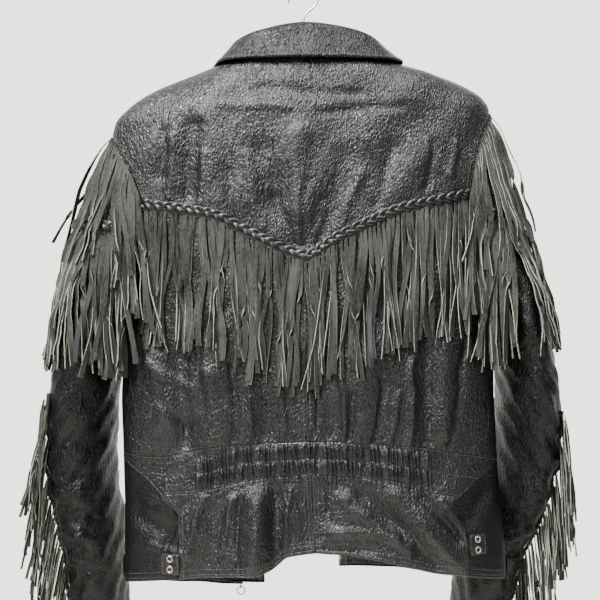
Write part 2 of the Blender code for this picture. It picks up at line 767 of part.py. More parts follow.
def armhole_places(side):
    """The armhole's corners, from the shoulder point down the back to the underarm and up the front."""
    hole = ARMHOLES[side]
    heights = [h for h in side_heights(side)[::-1] if hole.underarm - 1e-7 < h < hole.shoulder + 1e-7]
    cuts = [(h, armhole_cut(side, h)) for h in heights]
    back = [(SIDES[side] * (QUARTER - cut), h) for h, cut in cuts]
    front = [(SIDES[side] * (QUARTER + cut), h) for h, cut in cuts[1:-1]]
    return back + front[::-1]


def tube_point(side, along, around):
    """A point of the plain tube below the underarm; along is 0 at its first section and 1 at the cuff."""
    rows = SLEEVES[side]
    height = mix(rows[0].height, rows[-1].height, along)
    x, y, across, deep, turn = (smooth(rows, "height", c, height) for c in ("x", "y", "across", "along", "turn"))
    out = Vector((SIDES[side] * math.cos(turn), math.sin(turn), 0.0))
    back = Vector((SIDES[side] * math.sin(turn), -math.cos(turn), 0.0))
    angle = 2 * math.pi * around
    return Vector((x, y, height)) + out * across * math.cos(angle) + back * deep * math.sin(angle)


def sleeve_sheet(side):
    """The whole sleeve: rows from the armhole down to the cuff, columns from the shoulder round by the back."""
    places = armhole_places(side)
    count = len(places)
    starts = [torso(*place) for place in places]
    normals = [normal_of(torso, *place) for place in places]
    centre = sum(starts, Vector()) / count
    rows = []
    for t in SETTING_ROWS:
        row = []
        for i, start in enumerate(starts):
            into = centre - start
            into = (into - normals[i] * into.dot(normals[i])).normalized()
            start = start + into * (SEAM_GAP - 0.0001)
            end = tube_point(side, 0.0, i / count)
            reach = (end - start).length
            leave = Vector((SIDES[side] * SLEEVE_LEAVE[side], start.y * 3.0, SLEEVE_LEAVE[side] - 1.35)).normalized() * reach
            arrive = (tube_point(side, 0.05, i / count) - end).normalized() * reach
            row.append(
                start * (2 * t**3 - 3 * t**2 + 1) + leave * (t**3 - 2 * t**2 + t)
                + end * (3 * t**2 - 2 * t**3) + arrive * (t**3 - t**2)
            )
        rows.append(row)
    rows += [[tube_point(side, along, i / count) for i in range(count)] for along in even(TUBE_ROWS)]
    plain = row_normals(rows, side)
    for j, row in enumerate(rows):
        for i in range(count):
            rise = 0.0
            for fold in SLEEVE_FOLDS:
                turn = (i / count - fold.round + 0.5) % 1.0 - 0.5
                along = mix(SLEEVE_SETTING, 1.0, (j - len(SETTING_ROWS)) / TUBE_ROWS)
                rise += fold.depth * math.exp(-((turn / fold.spread) ** 2) - ((along - fold.along) / fold.length) ** 2)
            row[i] = row[i] + plain[j][i] * rise
    final = row_normals(rows, side)
    final[0] = [(start - centre).normalized() for start in starts]
    final[0] = [(out - normal * out.dot(normal)).normalized() for out, normal in zip(final[0], normals)]
    loop = 2 * count + 1
    return Sheet(*([[row[i % count] for i in range(loop)] for row in grid] for grid in (rows, final)))


def row_normals(rows, side):
    """Outward normals of a tube given as closed rows of points."""
    count = len(rows[0])
    grid = []
    for j, row in enumerate(rows):
        above, below = rows[max(0, j - 1)], rows[min(len(rows) - 1, j + 1)]
        grid.append([
            ((row[(i + 1) % count] - row[i - 1]).cross(above[i] - below[i])).normalized() * -SIDES[side]
            for i in range(count)
        ])
    return grid


def build_sleeves(sheets):
    """Each sleeve is cut in two pieces: one over the back of the arm, and one over its front."""
    first, second = SLEEVE_SEAMS
    for side in SIDES:
        sheet = sheets["sleeve_" + side] = sleeve_sheet(side)
        count = (len(sheet.points[0]) - 1) // 2
        panel("sleeve_back_" + side, columns_of(sheet, first, second), edges="lrt")
        panel("sleeve_front_" + side, columns_of(sheet, second, first + count), edges="lrt")


# Braids and fringe

def braid(name, places, at, seat):
    """A plaited strip. At gives a point and its normal at a place along it and a shift across it."""
    rings = []
    for i, place in enumerate(places):
        ring = []
        for across, up in ((-1.0, 0.0), (-0.70, 0.80), (0.0, 0.90), (0.70, 0.80), (1.0, 0.0), (0.0, 0.0)):
            swell = 1 + (0.15 if (across > 0) == (i % 2 == 0) else -0.15) * abs(across)
            point, normal = at(place, across * BRAID_WIDTH / 2 * swell)
            ring.append(point + normal * (seat + up * BRAID_HEIGHT * swell))
        rings.append(ring)

    def build(bm):
        loops = [[bm.verts.new(p) for p in ring] for ring in rings]
        for low, high in zip(loops, loops[1:]):
            for i in range(len(low)):
                k = (i + 1) % len(low)
                bm.faces.new((low[i], low[k], high[k], high[i]))
        bm.faces.new(loops[0])
        bm.faces.new(loops[-1])

    make_object(name, BRAIDED_LEATHER, build)


def fringe(name, roots, strands, material=SUEDE_FRINGE):
    """One solid: a narrow backing strip of cells, with a strand drawn out of the foot of each.

    A root is the strip's four corners at one cell edge: top outside, top inside, foot outside, foot inside.
    A strand is its rings of four corners below the strip, in the order of the strip's foot, or none.
    """

    def build(bm):
        corners = [[bm.verts.new(p) for p in root] for root in roots]
        for a, b in zip(corners, corners[1:]):
            bm.faces.new((a[0], b[0], b[1], a[1]))
            bm.faces.new((a[0], a[2], b[2], b[0]))
            bm.faces.new((a[1], b[1], b[3], a[3]))
        for end in (corners[0], corners[-1]):
            bm.faces.new((end[0], end[1], end[3], end[2]))
        for a, b, rings in zip(corners, corners[1:], strands):
            ring = [a[2], b[2], b[3], a[3]]
            for points in rings:
                below = [bm.verts.new(p) for p in points]
                for i in range(4):
                    k = (i + 1) % 4
                    bm.faces.new((ring[i], ring[k], below[k], below[i]))
                ring = below
            bm.faces.new(ring)

    make_object(name, material, build)


def strand_ring(point, width_way, outward, width, twist=0.0):
    """Four corners of a strand's section, turned about its length by the twist."""
    side = width_way.normalized()
    out = (outward - side * outward.dot(side)).normalized()
    wide = (side * math.cos(twist) + out * math.sin(twist)) * width / 2
    thick = (out * math.cos(twist) - side * math.sin(twist)) * FRINGE_LEATHER / 2
    return [point - wide + thick, point + wide + thick, point + wide - thick, point - wide - thick]


def sway(index, salt):
    """A repeatable number from -1 to 1 for each strand."""
    return math.sin(index * 12.9898 + salt * 78.233) * math.cos(index * 4.1414 + salt * 2.71)


def row_at_height(sheet, column, height):
    """The row at which a column of a sheet passes a height, on a sheet whose rows go up."""
    for row in range(len(sheet.points) - 1):
        low, high = between(sheet.points[row], column).z, between(sheet.points[row + 1], column).z
        if height <= high or row == len(sheet.points) - 2:
            return row + (height - low) / (high - low)


def column_at_x(sheet, row, x):
    """The column at which a row of the back passes a given x."""
    last = len(sheet.points[0]) - 2
    for column in range(last + 1):
        low, high = on_sheet(sheet, column, row).x, on_sheet(sheet, column + 1, row).x
        if x <= high or column == last:
            return column + max(0.0, min(1.0, (x - low) / (high - low)))


def straight_below(sheet, column, row, distance):
    """The place on the back that lies straight below another, found by turns on its columns and rows."""
    start = on_sheet(sheet, column, row)
    for _ in range(6):
        row = row_at_height(sheet, column, start.z - distance)
        column = column_at_x(sheet, row, start.x)
    return column, row


def hanging_fringe(name, sheet, columns, root_row, follow, length, rings_at, widest, salt):
    """Strands that hang down a sheet from a line across it, each following the sheet's facets.

    Follow gives the place that lies a distance below another. Rings at gives, for each section of a strand,
    its share of the length and its height over the sheet.
    """
    strip = 0.0045
    near = SEAM_GAP + 0.0005
    far = near + FRINGE_LEATHER
    roots = []
    for column in columns:
        top = (column, root_row(column))
        foot = follow(*top, strip)
        roots.append([on_sheet(sheet, *place, out) for place in (top, foot) for out in (far, near)])
    strands = []
    for i, (a, b) in enumerate(zip(columns, columns[1:])):
        column = (a + b) / 2
        width_way = roots[i + 1][2] - roots[i][2]
        width = min(widest, width_way.length * 0.78)
        long = length * (1 + 0.06 * sway(i, salt)) - strip
        rings = []
        for part, lift in rings_at:
            place = follow(column, root_row(column), strip + long * part)
            ahead = on_sheet(sheet, place[0] + 0.2, place[1]) - on_sheet(sheet, place[0] - 0.2, place[1])
            ahead = ahead if ahead.dot(width_way) > 0 else -ahead
            point = on_sheet(sheet, *place, lift)
            rings.append(strand_ring(point, ahead, sheet_normal(sheet, *place), width, 0.25 * sway(i, salt + 2) * part))
        strands.append(rings)
    fringe(name, roots, strands)


def build_cuff_fringe(side, sheet):
    """Strands from the outer sleeve seam, each standing a little away from the arm as it hangs."""
    seam = SLEEVE_SEAMS[0]
    near, far = SEAM_GAP + 0.0008, SEAM_GAP + 0.0048
    out = Vector((SIDES[side] * 0.80, -0.60, 0.0))
    wide = Vector((SIDES[side] * 0.60, 0.80, 0.0))
    thick = wide * FRINGE_LEATHER / 2
    last = len(sheet.points) - 1
    rows = [row + part for row in range(last - 7, last) for part in (0.10, 0.28, 0.60, 0.78)]
    roots, strands = [], []
    for row in rows:
        base, tip = on_sheet(sheet, seam, row, near), on_sheet(sheet, seam, row, far)
        roots.append((base + thick, base - thick, tip + thick, tip - thick))
    for i in range(len(rows) - 1):
        if i % 2:
            strands.append([])
            continue
        low = (roots[i + 1][2] + roots[i + 1][3]) / 2
        length = CUFF_FRINGE_LENGTH * (1 + 0.05 * sway(i, 7))
        rings = []
        for part in (0.03, 0.45, 1.0):
            reach = 0.0035 + CUFF_FRINGE_SLOPE[side] * length * part
            point = low + out * reach + Vector((0.0, 0.0, -length * part))
            ring = strand_ring(point, out, wide, 0.0050)
            rings.append([ring[1], ring[0], ring[3], ring[2]])
        strands.append(rings)
    fringe("fringe_cuff_" + side, roots, strands)


def arm_braid_row(sheet, column, count):
    """The row that the sleeve's braid follows: a V, low over the shoulder and high at the armhole."""
    away = min(column % count, count - column % count)
    return walk(sheet, column % count, 0.0, 0.0180 + ARM_BRAID_DROP * (1 - away / ARM_BRAID_REACH) ** 0.85, 1)


def build_trim(sheets):
    yoke, back = sheets["yoke"], sheets["back"]
    top = len(back.points) - 1

    def along_yoke(column, shift):
        if shift > 0:
            row = walk(yoke, column, 0.0, shift, 1)
            return on_sheet(yoke, column, row), sheet_normal(yoke, column, row)
        row = walk(back, column, top, -shift, -1)
        return on_sheet(back, column, row), sheet_normal(back, column, row)

    inner_columns = [i / 2 for i in range(1, 4 * HALF_COLUMNS)]
    braid("braid_back", inner_columns, along_yoke, 0.0011)
    under_braid = BRAID_WIDTH / 2 * 1.15 + 0.0006
    hanging_fringe(
        "fringe_back", back, inner_columns, lambda column: walk(back, column, top, under_braid, -1),
        lambda column, row, distance: straight_below(back, column, row, distance),
        BACK_FRINGE_LENGTH, ((0.12, 0.0042), (0.50, 0.0058), (1.0, 0.0055)), 0.0060, 1,
    )
    for side in SIDES:
        sheet = sheets["sleeve_" + side]
        count = (len(sheet.points[0]) - 1) // 2

        def braid_row(column, sheet=sheet, count=count):
            return arm_braid_row(sheet, column, count)

        def along_arm(column, shift, sheet=sheet, braid_row=braid_row):
            row = walk(sheet, column, braid_row(column), abs(shift), -1 if shift > 0 else 1)
            return on_sheet(sheet, column, row), sheet_normal(sheet, column, row)

        def under_row(column, sheet=sheet, braid_row=braid_row):
            return walk(sheet, column, braid_row(column), under_braid + 0.0020, 1)

        def further(column, row, distance, sheet=sheet):
            return column, walk(sheet, column, row, distance, 1)

        braid("braid_arm_" + side, [count - 4.5 + i / 2 for i in range(19)], along_arm, 0.0012)
        hanging_fringe(
            "fringe_arm_" + side, sheet, [count - 4 + i / 3 for i in range(25)], under_row, further,
            ARM_FRINGE_LENGTH, ((0.08, 0.0042), (0.40, 0.0088), (1.0, 0.0088)), 0.0064, 11,
        )
        hanging_fringe(
            "fringe_cap_" + side, sheet, [count - 1 + i / 2 for i in range(13)],
            lambda column, sheet=sheet: walk(sheet, column, 0.0, 0.0020, 1), further,
            CAP_FRINGE_LENGTH, ((0.04, 0.0090), (0.45, 0.0150), (1.0, 0.0180)), 0.0064, 17,
        )
        build_cuff_fringe(side, sheet)


# Lacing tabs, zip and hanger

def turned(name, profile, segments, place, material):
    """A ring turned from a closed profile of radius and height, stood on a place."""

    def build(bm):
        verts = [bm.verts.new((radius, 0.0, height)) for radius, height in profile]
        edges = [bm.edges.new((verts[i], verts[(i + 1) % len(verts)])) for i in range(len(verts))]
        bmesh.ops.spin(
            bm, geom=verts + edges, cent=(0, 0, 0), axis=(0, 0, 1),
            angle=2 * math.pi, steps=segments, use_merge=True,
        )
        bmesh.ops.remove_doubles(bm, verts=bm.verts, dist=0.00001)
        bmesh.ops.transform(bm, matrix=place, verts=bm.verts)

    return make_object(name, material, build)


def frame_at(point, normal):
    """A matrix whose X runs round the torso, Y up it and Z out of it."""
    across = Vector((0.0, 0.0, 1.0)).cross(normal).normalized()
    place = Matrix((across, normal.cross(across), normal)).transposed().to_4x4()
    place.translation = point
    return place


def frame_of_facet(sheet, column, row):
    """The same on the flat triangle of a sheet that holds a place."""
    point = on_sheet(sheet, column, row)
    across, up = on_sheet(sheet, column + 0.02, row) - point, on_sheet(sheet, column, row + 0.02) - point
    normal = across.cross(up).normalized()
    return frame_at(point, normal if normal.dot(sheet_normal(sheet, column, row)) > 0 else -normal)


def build_tabs(sheets):
    """Flat leather tabs on the hem's side panels, with two eyelets each for a lace."""
    stand = 0.0010
    for name, (side, column, height) in TABS.items():
        sheet = sheets["side_panel_" + side]
        place = frame_of_facet(sheet, column, row_at_height(sheet, column, height))
        eyelets = [place @ Matrix.Translation((0.0, up * EYELET_SPACING / 2, 0.0)) for up in (1, -1)]
        corners = [(x * TAB_WIDTH / 2, y * TAB_DEPTH / 2) for x, y in ((-1, -1), (1, -1), (1, 1), (-1, 1))]

        def build(bm, place=place, corners=corners):
            low = [bm.verts.new(place @ Vector((x, y, stand))) for x, y in corners]
            bottom = bm.faces.new(low)
            top = bmesh.ops.extrude_face_region(bm, geom=[bottom])["geom"]
            raised = [v for v in top if isinstance(v, bmesh.types.BMVert)]
            bmesh.ops.translate(bm, verts=raised, vec=place.to_3x3() @ Vector((0.0, 0.0, LEATHER)))

        tab = make_object(name, BLACK_LEATHER, build)
        for number, eyelet in enumerate(eyelets, 1):
            cutter = make_object(f"{name}_cutter_{number}", BLACK_LEATHER, lambda bm, eyelet=eyelet: bmesh.ops.create_cone(
                bm, segments=8, radius1=EYELET_HOLE + 0.0012, radius2=EYELET_HOLE + 0.0012, depth=0.012,
                cap_ends=True, matrix=eyelet @ Matrix.Translation((0, 0, stand)),
            ))
            cutter.hide_render = True
            cutter.display_type = "WIRE"
            hole = tab.modifiers.new("hole", "BOOLEAN")
            hole.object = cutter
            low, high = stand - 0.0002, stand + LEATHER + SEAM_GAP
            barrel = EYELET_HOLE + 0.0008
            profile = (
                (EYELET_HOLE, low), (barrel, low), (barrel, high), (EYELET_RADIUS, high), (EYELET_HOLE, high + 0.0009),
            )
            turned(f"{name}_eyelet_{number}", profile, 8, eyelet, NICKEL)


def build_zip_pull(front):
    """The slider at the foot of the left zip, its lug, and the ring that swings in the lug."""
    row = walk(front, FRONT_COLUMNS, 0.0, 0.0075, 1)
    edge = on_sheet(front, FRONT_COLUMNS, row) + Vector((ZIP_TAPE * 0.75, 0.0, 0.0))
    place = frame_at(edge, sheet_normal(front, FRONT_COLUMNS, row))
    foot = place.translation
    body_out = 0.0019
    lug_y = foot.y + 0.0040
    lug_z = foot.z - 0.0125

    def build(bm):
        bmesh.ops.create_cube(bm, size=1.0)
        bmesh.ops.scale(bm, vec=(0.0090, 0.0110, 0.0030), verts=bm.verts)
        bmesh.ops.transform(bm, matrix=place @ Matrix.Translation((0, 0.0, body_out)), verts=bm.verts)

    slider = make_object("zip_slider", NICKEL, build)
    lug_hole, lug_rim = 0.0013, 0.0026
    place_lug = Matrix.Translation((foot.x, lug_y, lug_z)) @ Matrix.Rotation(QUARTER, 4, "Y")
    lug = turned(
        "zip_slider_lug", ((lug_hole, -0.0009), (lug_rim, -0.0009), (lug_rim, 0.0009), (lug_hole, 0.0009)), 14, place_lug, NICKEL
    )
    stem = make_object("zip_slider_stem", NICKEL, lambda bm: (
        bmesh.ops.create_cube(bm, size=1.0),
        bmesh.ops.scale(bm, vec=(0.0018, 0.0022, 0.0095), verts=bm.verts),
        bmesh.ops.translate(bm, vec=(foot.x, lug_y, lug_z + lug_rim + 0.0040), verts=bm.verts),
    ))
    for other in (lug, stem):
        other.hide_render = True
        other.display_type = "WIRE"
        join = slider.modifiers.new("join_" + other.name, "BOOLEAN")
        join.operation = "UNION"
        join.object = other
    ring_centre = Vector((foot.x, lug_y, lug_z - PULL_RING_RADIUS - (lug_hole - PULL_RING_WIRE) + SEAM_GAP))
    wire = [
        (PULL_RING_RADIUS + PULL_RING_WIRE * math.cos(a), PULL_RING_WIRE * math.sin(a))
        for a in (2 * math.pi * k / 5 for k in range(5))
    ]
    turned("zip_pull_ring", wire, 18, Matrix.Translation(ring_centre) @ Matrix.Rotation(QUARTER, 4, "X"), NICKEL)


def shoulder_height(yoke, x):
    """Height of the shoulder's facets over a given x, outside the neck."""
    ridge = [row[0 if x < 0 else -1] for row in yoke.points]
    for low, high in zip(ridge, ridge[1:]):
        if abs(high.x) <= abs(x) <= abs(low.x) and high.z > ARMHOLES["left"].shoulder:
            return mix(low.z, high.z, (abs(x) - abs(low.x)) / (abs(high.x) - abs(low.x)))
    return NECK_HEIGHT


def build_hanger(yoke):
    """A plain hanger: two arms under the shoulders, a hub, and a wire hook."""
    hub_top, crown = -0.0620, -0.1010
    neck_x = 0.0900
    tip_x = 0.1850
    clearance = 0.0034
    arm_depth = 0.0090
    line = []
    for k in range(-8, 9):
        x = tip_x * k / 8
        if abs(x) <= neck_x:
            edge = shoulder_height(yoke, math.copysign(neck_x + 0.010, x)) + 0.003
            share = abs(x) / neck_x
            top = mix(crown, edge, share * share)
        else:
            top = shoulder_height(yoke, x) - clearance
        line.append((x, top, mix(0.0240, 0.0110, (abs(k) / 8) ** 0.7)))

    def arms(bm):
        loops = []
        for x, top, tall in line:
            corners = (
                (-0.6, 0.0), (0.6, 0.0), (1.0, -0.25), (1.0, -0.75), (0.6, -1.0), (-0.6, -1.0), (-1.0, -0.75), (-1.0, -0.25),
            )
            loops.append([bm.verts.new((x, y * arm_depth / 2, top + z * tall)) for y, z in corners])
        for low, high in zip(loops, loops[1:]):
            for i in range(8):
                k = (i + 1) % 8
                bm.faces.new((low[i], low[k], high[k], high[i]))
        bm.faces.new(loops[0])
        bm.faces.new(loops[-1])

    make_object("hanger_arms", HANGER_PLASTIC, arms)
    hub_foot = crown + SEAM_GAP
    turned(
        "hanger_hub",
        ((HOOK_WIRE + SEAM_GAP, hub_foot), (0.0060, hub_foot), (0.0055, hub_top - 0.0060), (0.0030, hub_top - 0.0040),
         (0.0028, hub_top), (HOOK_WIRE + SEAM_GAP, hub_top)),
        10, Matrix.Identity(4), HANGER_PLASTIC,
    )
    bend = HOOK_RADIUS + HOOK_WIRE
    middle = -HOOK_RADIUS
    path = [(0.0, hub_foot + 0.0006), (0.0, -0.0800), (0.0, hub_top), (0.0, -0.0490), (0.0030, -0.0420)]
    path += [
        (bend * math.cos(a), middle + bend * math.sin(a))
        for a in (math.radians(d) for d in range(-50, 211, 20))
    ]
    curve = bpy.data.curves.new("hanger_hook", "CURVE")
    curve.dimensions = "3D"
    curve.bevel_depth = HOOK_WIRE
    curve.bevel_resolution = 1
    curve.use_fill_caps = True
    spline = curve.splines.new("POLY")
    spline.points.add(len(path) - 1)
    for point, (x, z) in zip(spline.points, path):
        point.co = (x, 0.0, z, 1.0)
    hook = bpy.data.objects.new("hanger_hook", curve)
    curve.materials.append(shared_material(STEEL_WIRE))
    bpy.context.scene.collection.objects.link(hook)


def main():
    for old in list(bpy.data.objects):
        bpy.data.objects.remove(old)
    sheets = build_torso()
    build_opening(sheets)
    build_collar()
    build_sleeves(sheets)
    build_trim(sheets)
    build_tabs(sheets)
    build_zip_pull(sheets["front_left"])
    build_hanger(sheets["yoke"])


main()
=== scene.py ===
import math

import bmesh
import bpy
import numpy as np
from mathutils import Matrix, Vector
from mathutils.bvhtree import BVHTree


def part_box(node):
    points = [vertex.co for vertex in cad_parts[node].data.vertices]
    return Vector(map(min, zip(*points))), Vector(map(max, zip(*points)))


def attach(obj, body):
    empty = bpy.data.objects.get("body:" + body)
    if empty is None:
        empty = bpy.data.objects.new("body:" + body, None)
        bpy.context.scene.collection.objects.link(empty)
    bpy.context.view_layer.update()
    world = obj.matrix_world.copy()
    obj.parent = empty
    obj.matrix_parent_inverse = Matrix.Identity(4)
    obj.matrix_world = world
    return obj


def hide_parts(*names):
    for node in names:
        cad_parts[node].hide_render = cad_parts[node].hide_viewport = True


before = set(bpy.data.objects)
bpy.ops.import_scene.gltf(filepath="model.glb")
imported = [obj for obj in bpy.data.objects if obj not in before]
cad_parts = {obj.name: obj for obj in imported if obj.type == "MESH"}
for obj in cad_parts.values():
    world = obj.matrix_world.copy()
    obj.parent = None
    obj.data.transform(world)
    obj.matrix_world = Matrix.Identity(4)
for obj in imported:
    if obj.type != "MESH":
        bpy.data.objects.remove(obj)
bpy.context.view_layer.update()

# A black leather jacket with suede fringe, seen from its back, on a hanger. The left side is -X, the back -Y.
# Every surface is worked out from the same tables as the solids, on finer grids and with the small creases.

quarter = math.pi / 2
sideSign = {"left": -1.0, "right": 1.0}
rng = np.random.default_rng(55)


def tableOf(columns, *rows, plain=""):
    # Named columns of numbers, sorted by the first one, which smooth() reads along.
    # Lengths are written in millimetres; the plain columns are shares, angles and other pure numbers.
    names = columns.split()
    data = np.array(sorted(rows), float) / [1 if name in plain.split() else 1000 for name in names]
    return {"key": data[:, 0], **dict(zip(names, data.T))}


def foldsOf(*rows):
    # Folds and creases: a straight line from one end to the other, how wide it is, and how high (a ridge) or deep.
    return tableOf("x0 z0 x1 z1 width depth", *rows)


def ringsOf(*rows):
    # A sleeve's creases: round and along are shares, and bow bends one down at its ends, as slack rings do.
    return tableOf("round along spread length depth bow", *rows, plain="round along spread length bow")


def smooth(table, column, at):
    # A smooth curve through a column that never overshoots, level past its ends.
    x, y = table["key"], table[column]
    steep = np.diff(y) / np.diff(x)
    slope = np.zeros(len(x))
    slope[0], slope[-1] = steep[0], steep[-1]
    before, after = steep[:-1], steep[1:]
    same = before * after > 0
    slope[1:-1][same] = 2 * before[same] * after[same] / (before[same] + after[same])
    at = np.clip(np.asarray(at, float), x[0], x[-1])
    i = np.clip(np.searchsorted(x, at, side="right") - 1, 0, len(x) - 2)
    span = x[i + 1] - x[i]
    t = (at - x[i]) / span
    return (
        y[i] * (2 * t**3 - 3 * t**2 + 1) + slope[i] * span * (t**3 - 2 * t**2 + t)
        + y[i + 1] * (3 * t**2 - 2 * t**3) + slope[i + 1] * span * (t**3 - t**2)
    )


def mix(a, b, share):
    return a + (b - a) * share


def step(low, high, value):
    t = np.clip((value - low) / (high - low), 0.0, 1.0)
    return t * t * (3 - 2 * t)


def unit(vectors):
    return vectors / np.maximum(np.linalg.norm(vectors, axis=-1, keepdims=True), 1e-12)


def bump(distance, width):
    return np.exp(-((distance / width) ** 2))


# Torso: where its sides are and how far back and front it reaches, by height.
torsoCut = tableOf(
    "height left right back front square",
    (-830, -235, 268, 76, 60, 2.5), (-760, -235, 267, 77, 60, 2.5), (-700, -235.5, 262, 72, 60, 2.6),
    (-640, -236.5, 257, 64, 59, 2.7), (-548.6, -239, 252, 70, 62, 2.8), (-455, -233, 250, 74, 63, 2.8),
    (-360, -239, 248, 72, 62, 2.6), (-260, -247, 247, 68, 60, 2.5), (-218, -252.5, 247, 65, 58, 2.4),
    (-189, -247, 247, 62, 56, 2.3), (-170, -230, 245, 60, 54, 2.3), (-156, -211, 236, 58, 53, 2.3),
    (-144, -189, 219, 56, 52, 2.3), (-134, -166.5, 199, 54, 51, 2.3), (-125, -144, 173.5, 52, 49, 2.3),
    (-117, -124, 148, 50, 47, 2.3), (-109.5, -105, 123, 47, 44, 2.3), (-103, -88, 98, 44, 42, 2.3),
    plain="square",
)
neckHeight = -0.1030

# Heights of the seams across the back. Share is 0 at the centre and 1 at the panel's side.
yokeSeam = tableOf(
    "share left right",
    (0, -367, -367), (0.15, -353, -342), (0.3, -334, -324), (0.5, -312, -304), (0.7, -305, -294.6),
    (1, -298, -283),
    plain="share",
)
waistTop = tableOf(
    "share left right",
    (0, -602.6, -602.6), (0.3, -608, -607), (0.6, -624, -620), (1, -618.5, -632),
    plain="share",
)
waistFoot = tableOf(
    "share left right",
    (0, -642.6, -642.6), (0.35, -651, -650), (0.75, -668, -667), (1, -672, -674),
    plain="share",
)
hemLine = tableOf(
    "share left right",
    (0, -743, -743), (0.18, -748, -745), (0.3, -766, -750), (0.5, -772, -759), (0.75, -776, -771),
    (1, -779, -777),
    plain="share",
)
# How far the side panel reaches onto the back and the front, in radians, by the distance below the waist's top.
sidePanelReach = tableOf(
    "below leftBack rightBack front",
    (0, 0.022, 0.022, 0.022), (12, 0.24, 0.33, 0.12), (34, 0.54, 0.65, 0.24), (55, 0.69, 0.78, 0.33),
    (85, 0.8, 0.69, 0.42), (210, 0.79, 0.66, 0.45),
    plain="leftBack rightBack front",
)
armholes = {
    "left": {"shoulder": -0.2050, "underarm": -0.4550, "cut": 0.55},
    "right": {"shoulder": -0.1730, "underarm": -0.4400, "cut": 0.50},
}
frontCut = {
    "left": {"topX": -0.0700, "footX": -0.0930, "neck": -0.1500, "hem": -0.8100},
    "right": {"topX": 0.0740, "footX": 0.0600, "neck": -0.1500, "hem": -0.7860},
}
sideHemDrop = 0.022

backFolds = foldsOf(
    (-141, -200, -144, -285, 14, -6), (-122, -190, -118, -290, 16, 4), (-52, -230, -18, -345, 16, -6),
    (-4, -210, -6, -335, 14, 5), (53, -240, 16, -345, 16, -6), (150, -230, 130, -280, 20, 3),
    (-160, -500, -152, -610, 14, -8), (-118, -520, -112, -600, 18, 7), (-48, -500, -46, -595, 12, -6),
    (30, -480, 34, -590, 14, -5), (85, -500, 70, -600, 18, 6), (158, -460, 162, -600, 14, -9),
    (180, -480, 176, -590, 15, 6), (-205, -470, -170, -560, 18, 6), (-58, -680, -62, -790, 16, 16),
    (-36, -670, -36, -780, 10, -8), (-110, -700, -128, -790, 18, -6), (52, -675, 135, -735, 10, 7),
    (78, -672, 172, -760, 12, -8), (120, -672, 192, -755, 14, 8), (10, -680, 14, -750, 16, -5),
    (240, -660, 215, -700, 16, -6), (-215, -700, -180, -715, 12, -5),
)
frontFolds = foldsOf(
    (-160, -240, -140, -420, 20, -5), (-110, -300, -100, -520, 20, 5), (-200, -480, -130, -620, 18, -6),
    (-150, -640, -140, -800, 20, 7), (160, -230, 150, -400, 20, -5), (110, -320, 115, -560, 20, 5),
    (210, -470, 140, -610, 18, -6), (150, -640, 130, -790, 20, 7),
)
backCreases = foldsOf(
    (-176, -205, -186, -262, 6, -1.8), (-166, -212, -172, -290, 5, 1.6), (-152, -240, -150, -296, 4, -1.4),
    (-130, -235, -131, -300, 4, 1.5), (-96, -255, -88, -318, 6, -1.6), (-74, -235, -52, -330, 6, 1.8),
    (-34, -290, -12, -352, 5, -1.7), (4, -270, -1, -352, 4, -1.6), (30, -300, 10, -350, 5, 1.6),
    (74, -262, 46, -330, 6, 1.7), (112, -225, 96, -300, 7, -1.5), (168, -220, 158, -278, 5, -1.5),
    (196, -222, 188, -262, 5, 1.4), (-60, -150, 70, -158, 7, -1.2), (-110, -168, -20, -176, 6, 1),
    (20, -182, 130, -172, 6, -1), (-196, -470, -150, -500, 6, -2.2), (-200, -500, -146, -536, 5, 2),
    (-186, -545, -150, -590, 5, -2), (-134, -480, -128, -560, 5, -2.2), (-90, -500, -86, -598, 5, -2),
    (-70, -530, -66, -600, 4, 2), (-30, -540, -24, -598, 4, 1.8), (18, -530, 14, -598, 4, -1.8),
    (48, -500, 52, -598, 4, 2.4), (62, -540, 60, -600, 4, -2.2), (102, -520, 92, -604, 4, -2.4),
    (120, -540, 112, -606, 4, 2), (140, -500, 138, -610, 5, 2.6), (208, -480, 192, -606, 5, -2),
    (-100, -430, -140, -470, 8, -2), (90, -440, 130, -480, 8, -2), (-150, -680, -176, -740, 5, -2),
    (-128, -676, -146, -745, 5, 2.2), (-92, -674, -100, -730, 5, 2.2), (-80, -674, -84, -760, 4, -2),
    (-18, -664, -22, -735, 4, 1.8), (30, -668, 34, -700, 4, -1.8), (40, -716, 120, -722, 5, 2.2),
    (30, -735, 90, -742, 5, -1.8), (150, -672, 204, -730, 5, -2.6), (176, -680, 214, -736, 4, 2.2),
    (60, -682, 110, -712, 4, -1.6), (-195, -735, -150, -750, 5, 1.8),
)
frontCreases = foldsOf(
    (-190, -220, -150, -300, 6, -2), (-170, -300, -130, -360, 6, 1.8), (-200, -430, -120, -470, 6, -2),
    (-190, -520, -120, -560, 6, 2), (-180, -600, -110, -620, 5, -2), (-170, -700, -130, -760, 6, -2),
    (190, -210, 150, -290, 6, -2), (170, -300, 120, -350, 6, 1.8), (200, -420, 120, -470, 6, -2),
    (190, -520, 120, -570, 6, 2), (180, -610, 100, -630, 5, -2), (170, -690, 110, -750, 6, -2),
)
leatherForm = {
    "wall": 0.0013,          # leather, two layers thick only at its seams
    "ripple": 0.0009,        # the hide's own unevenness
    "creases": 1.90,         # how deep the small creases are, against their table
    "gathers": 44,           # across the elastic waist
    "gatherHeight": 0.0050,
    "channelPuff": 0.0016,
    "bandMiddle": -0.650,
}


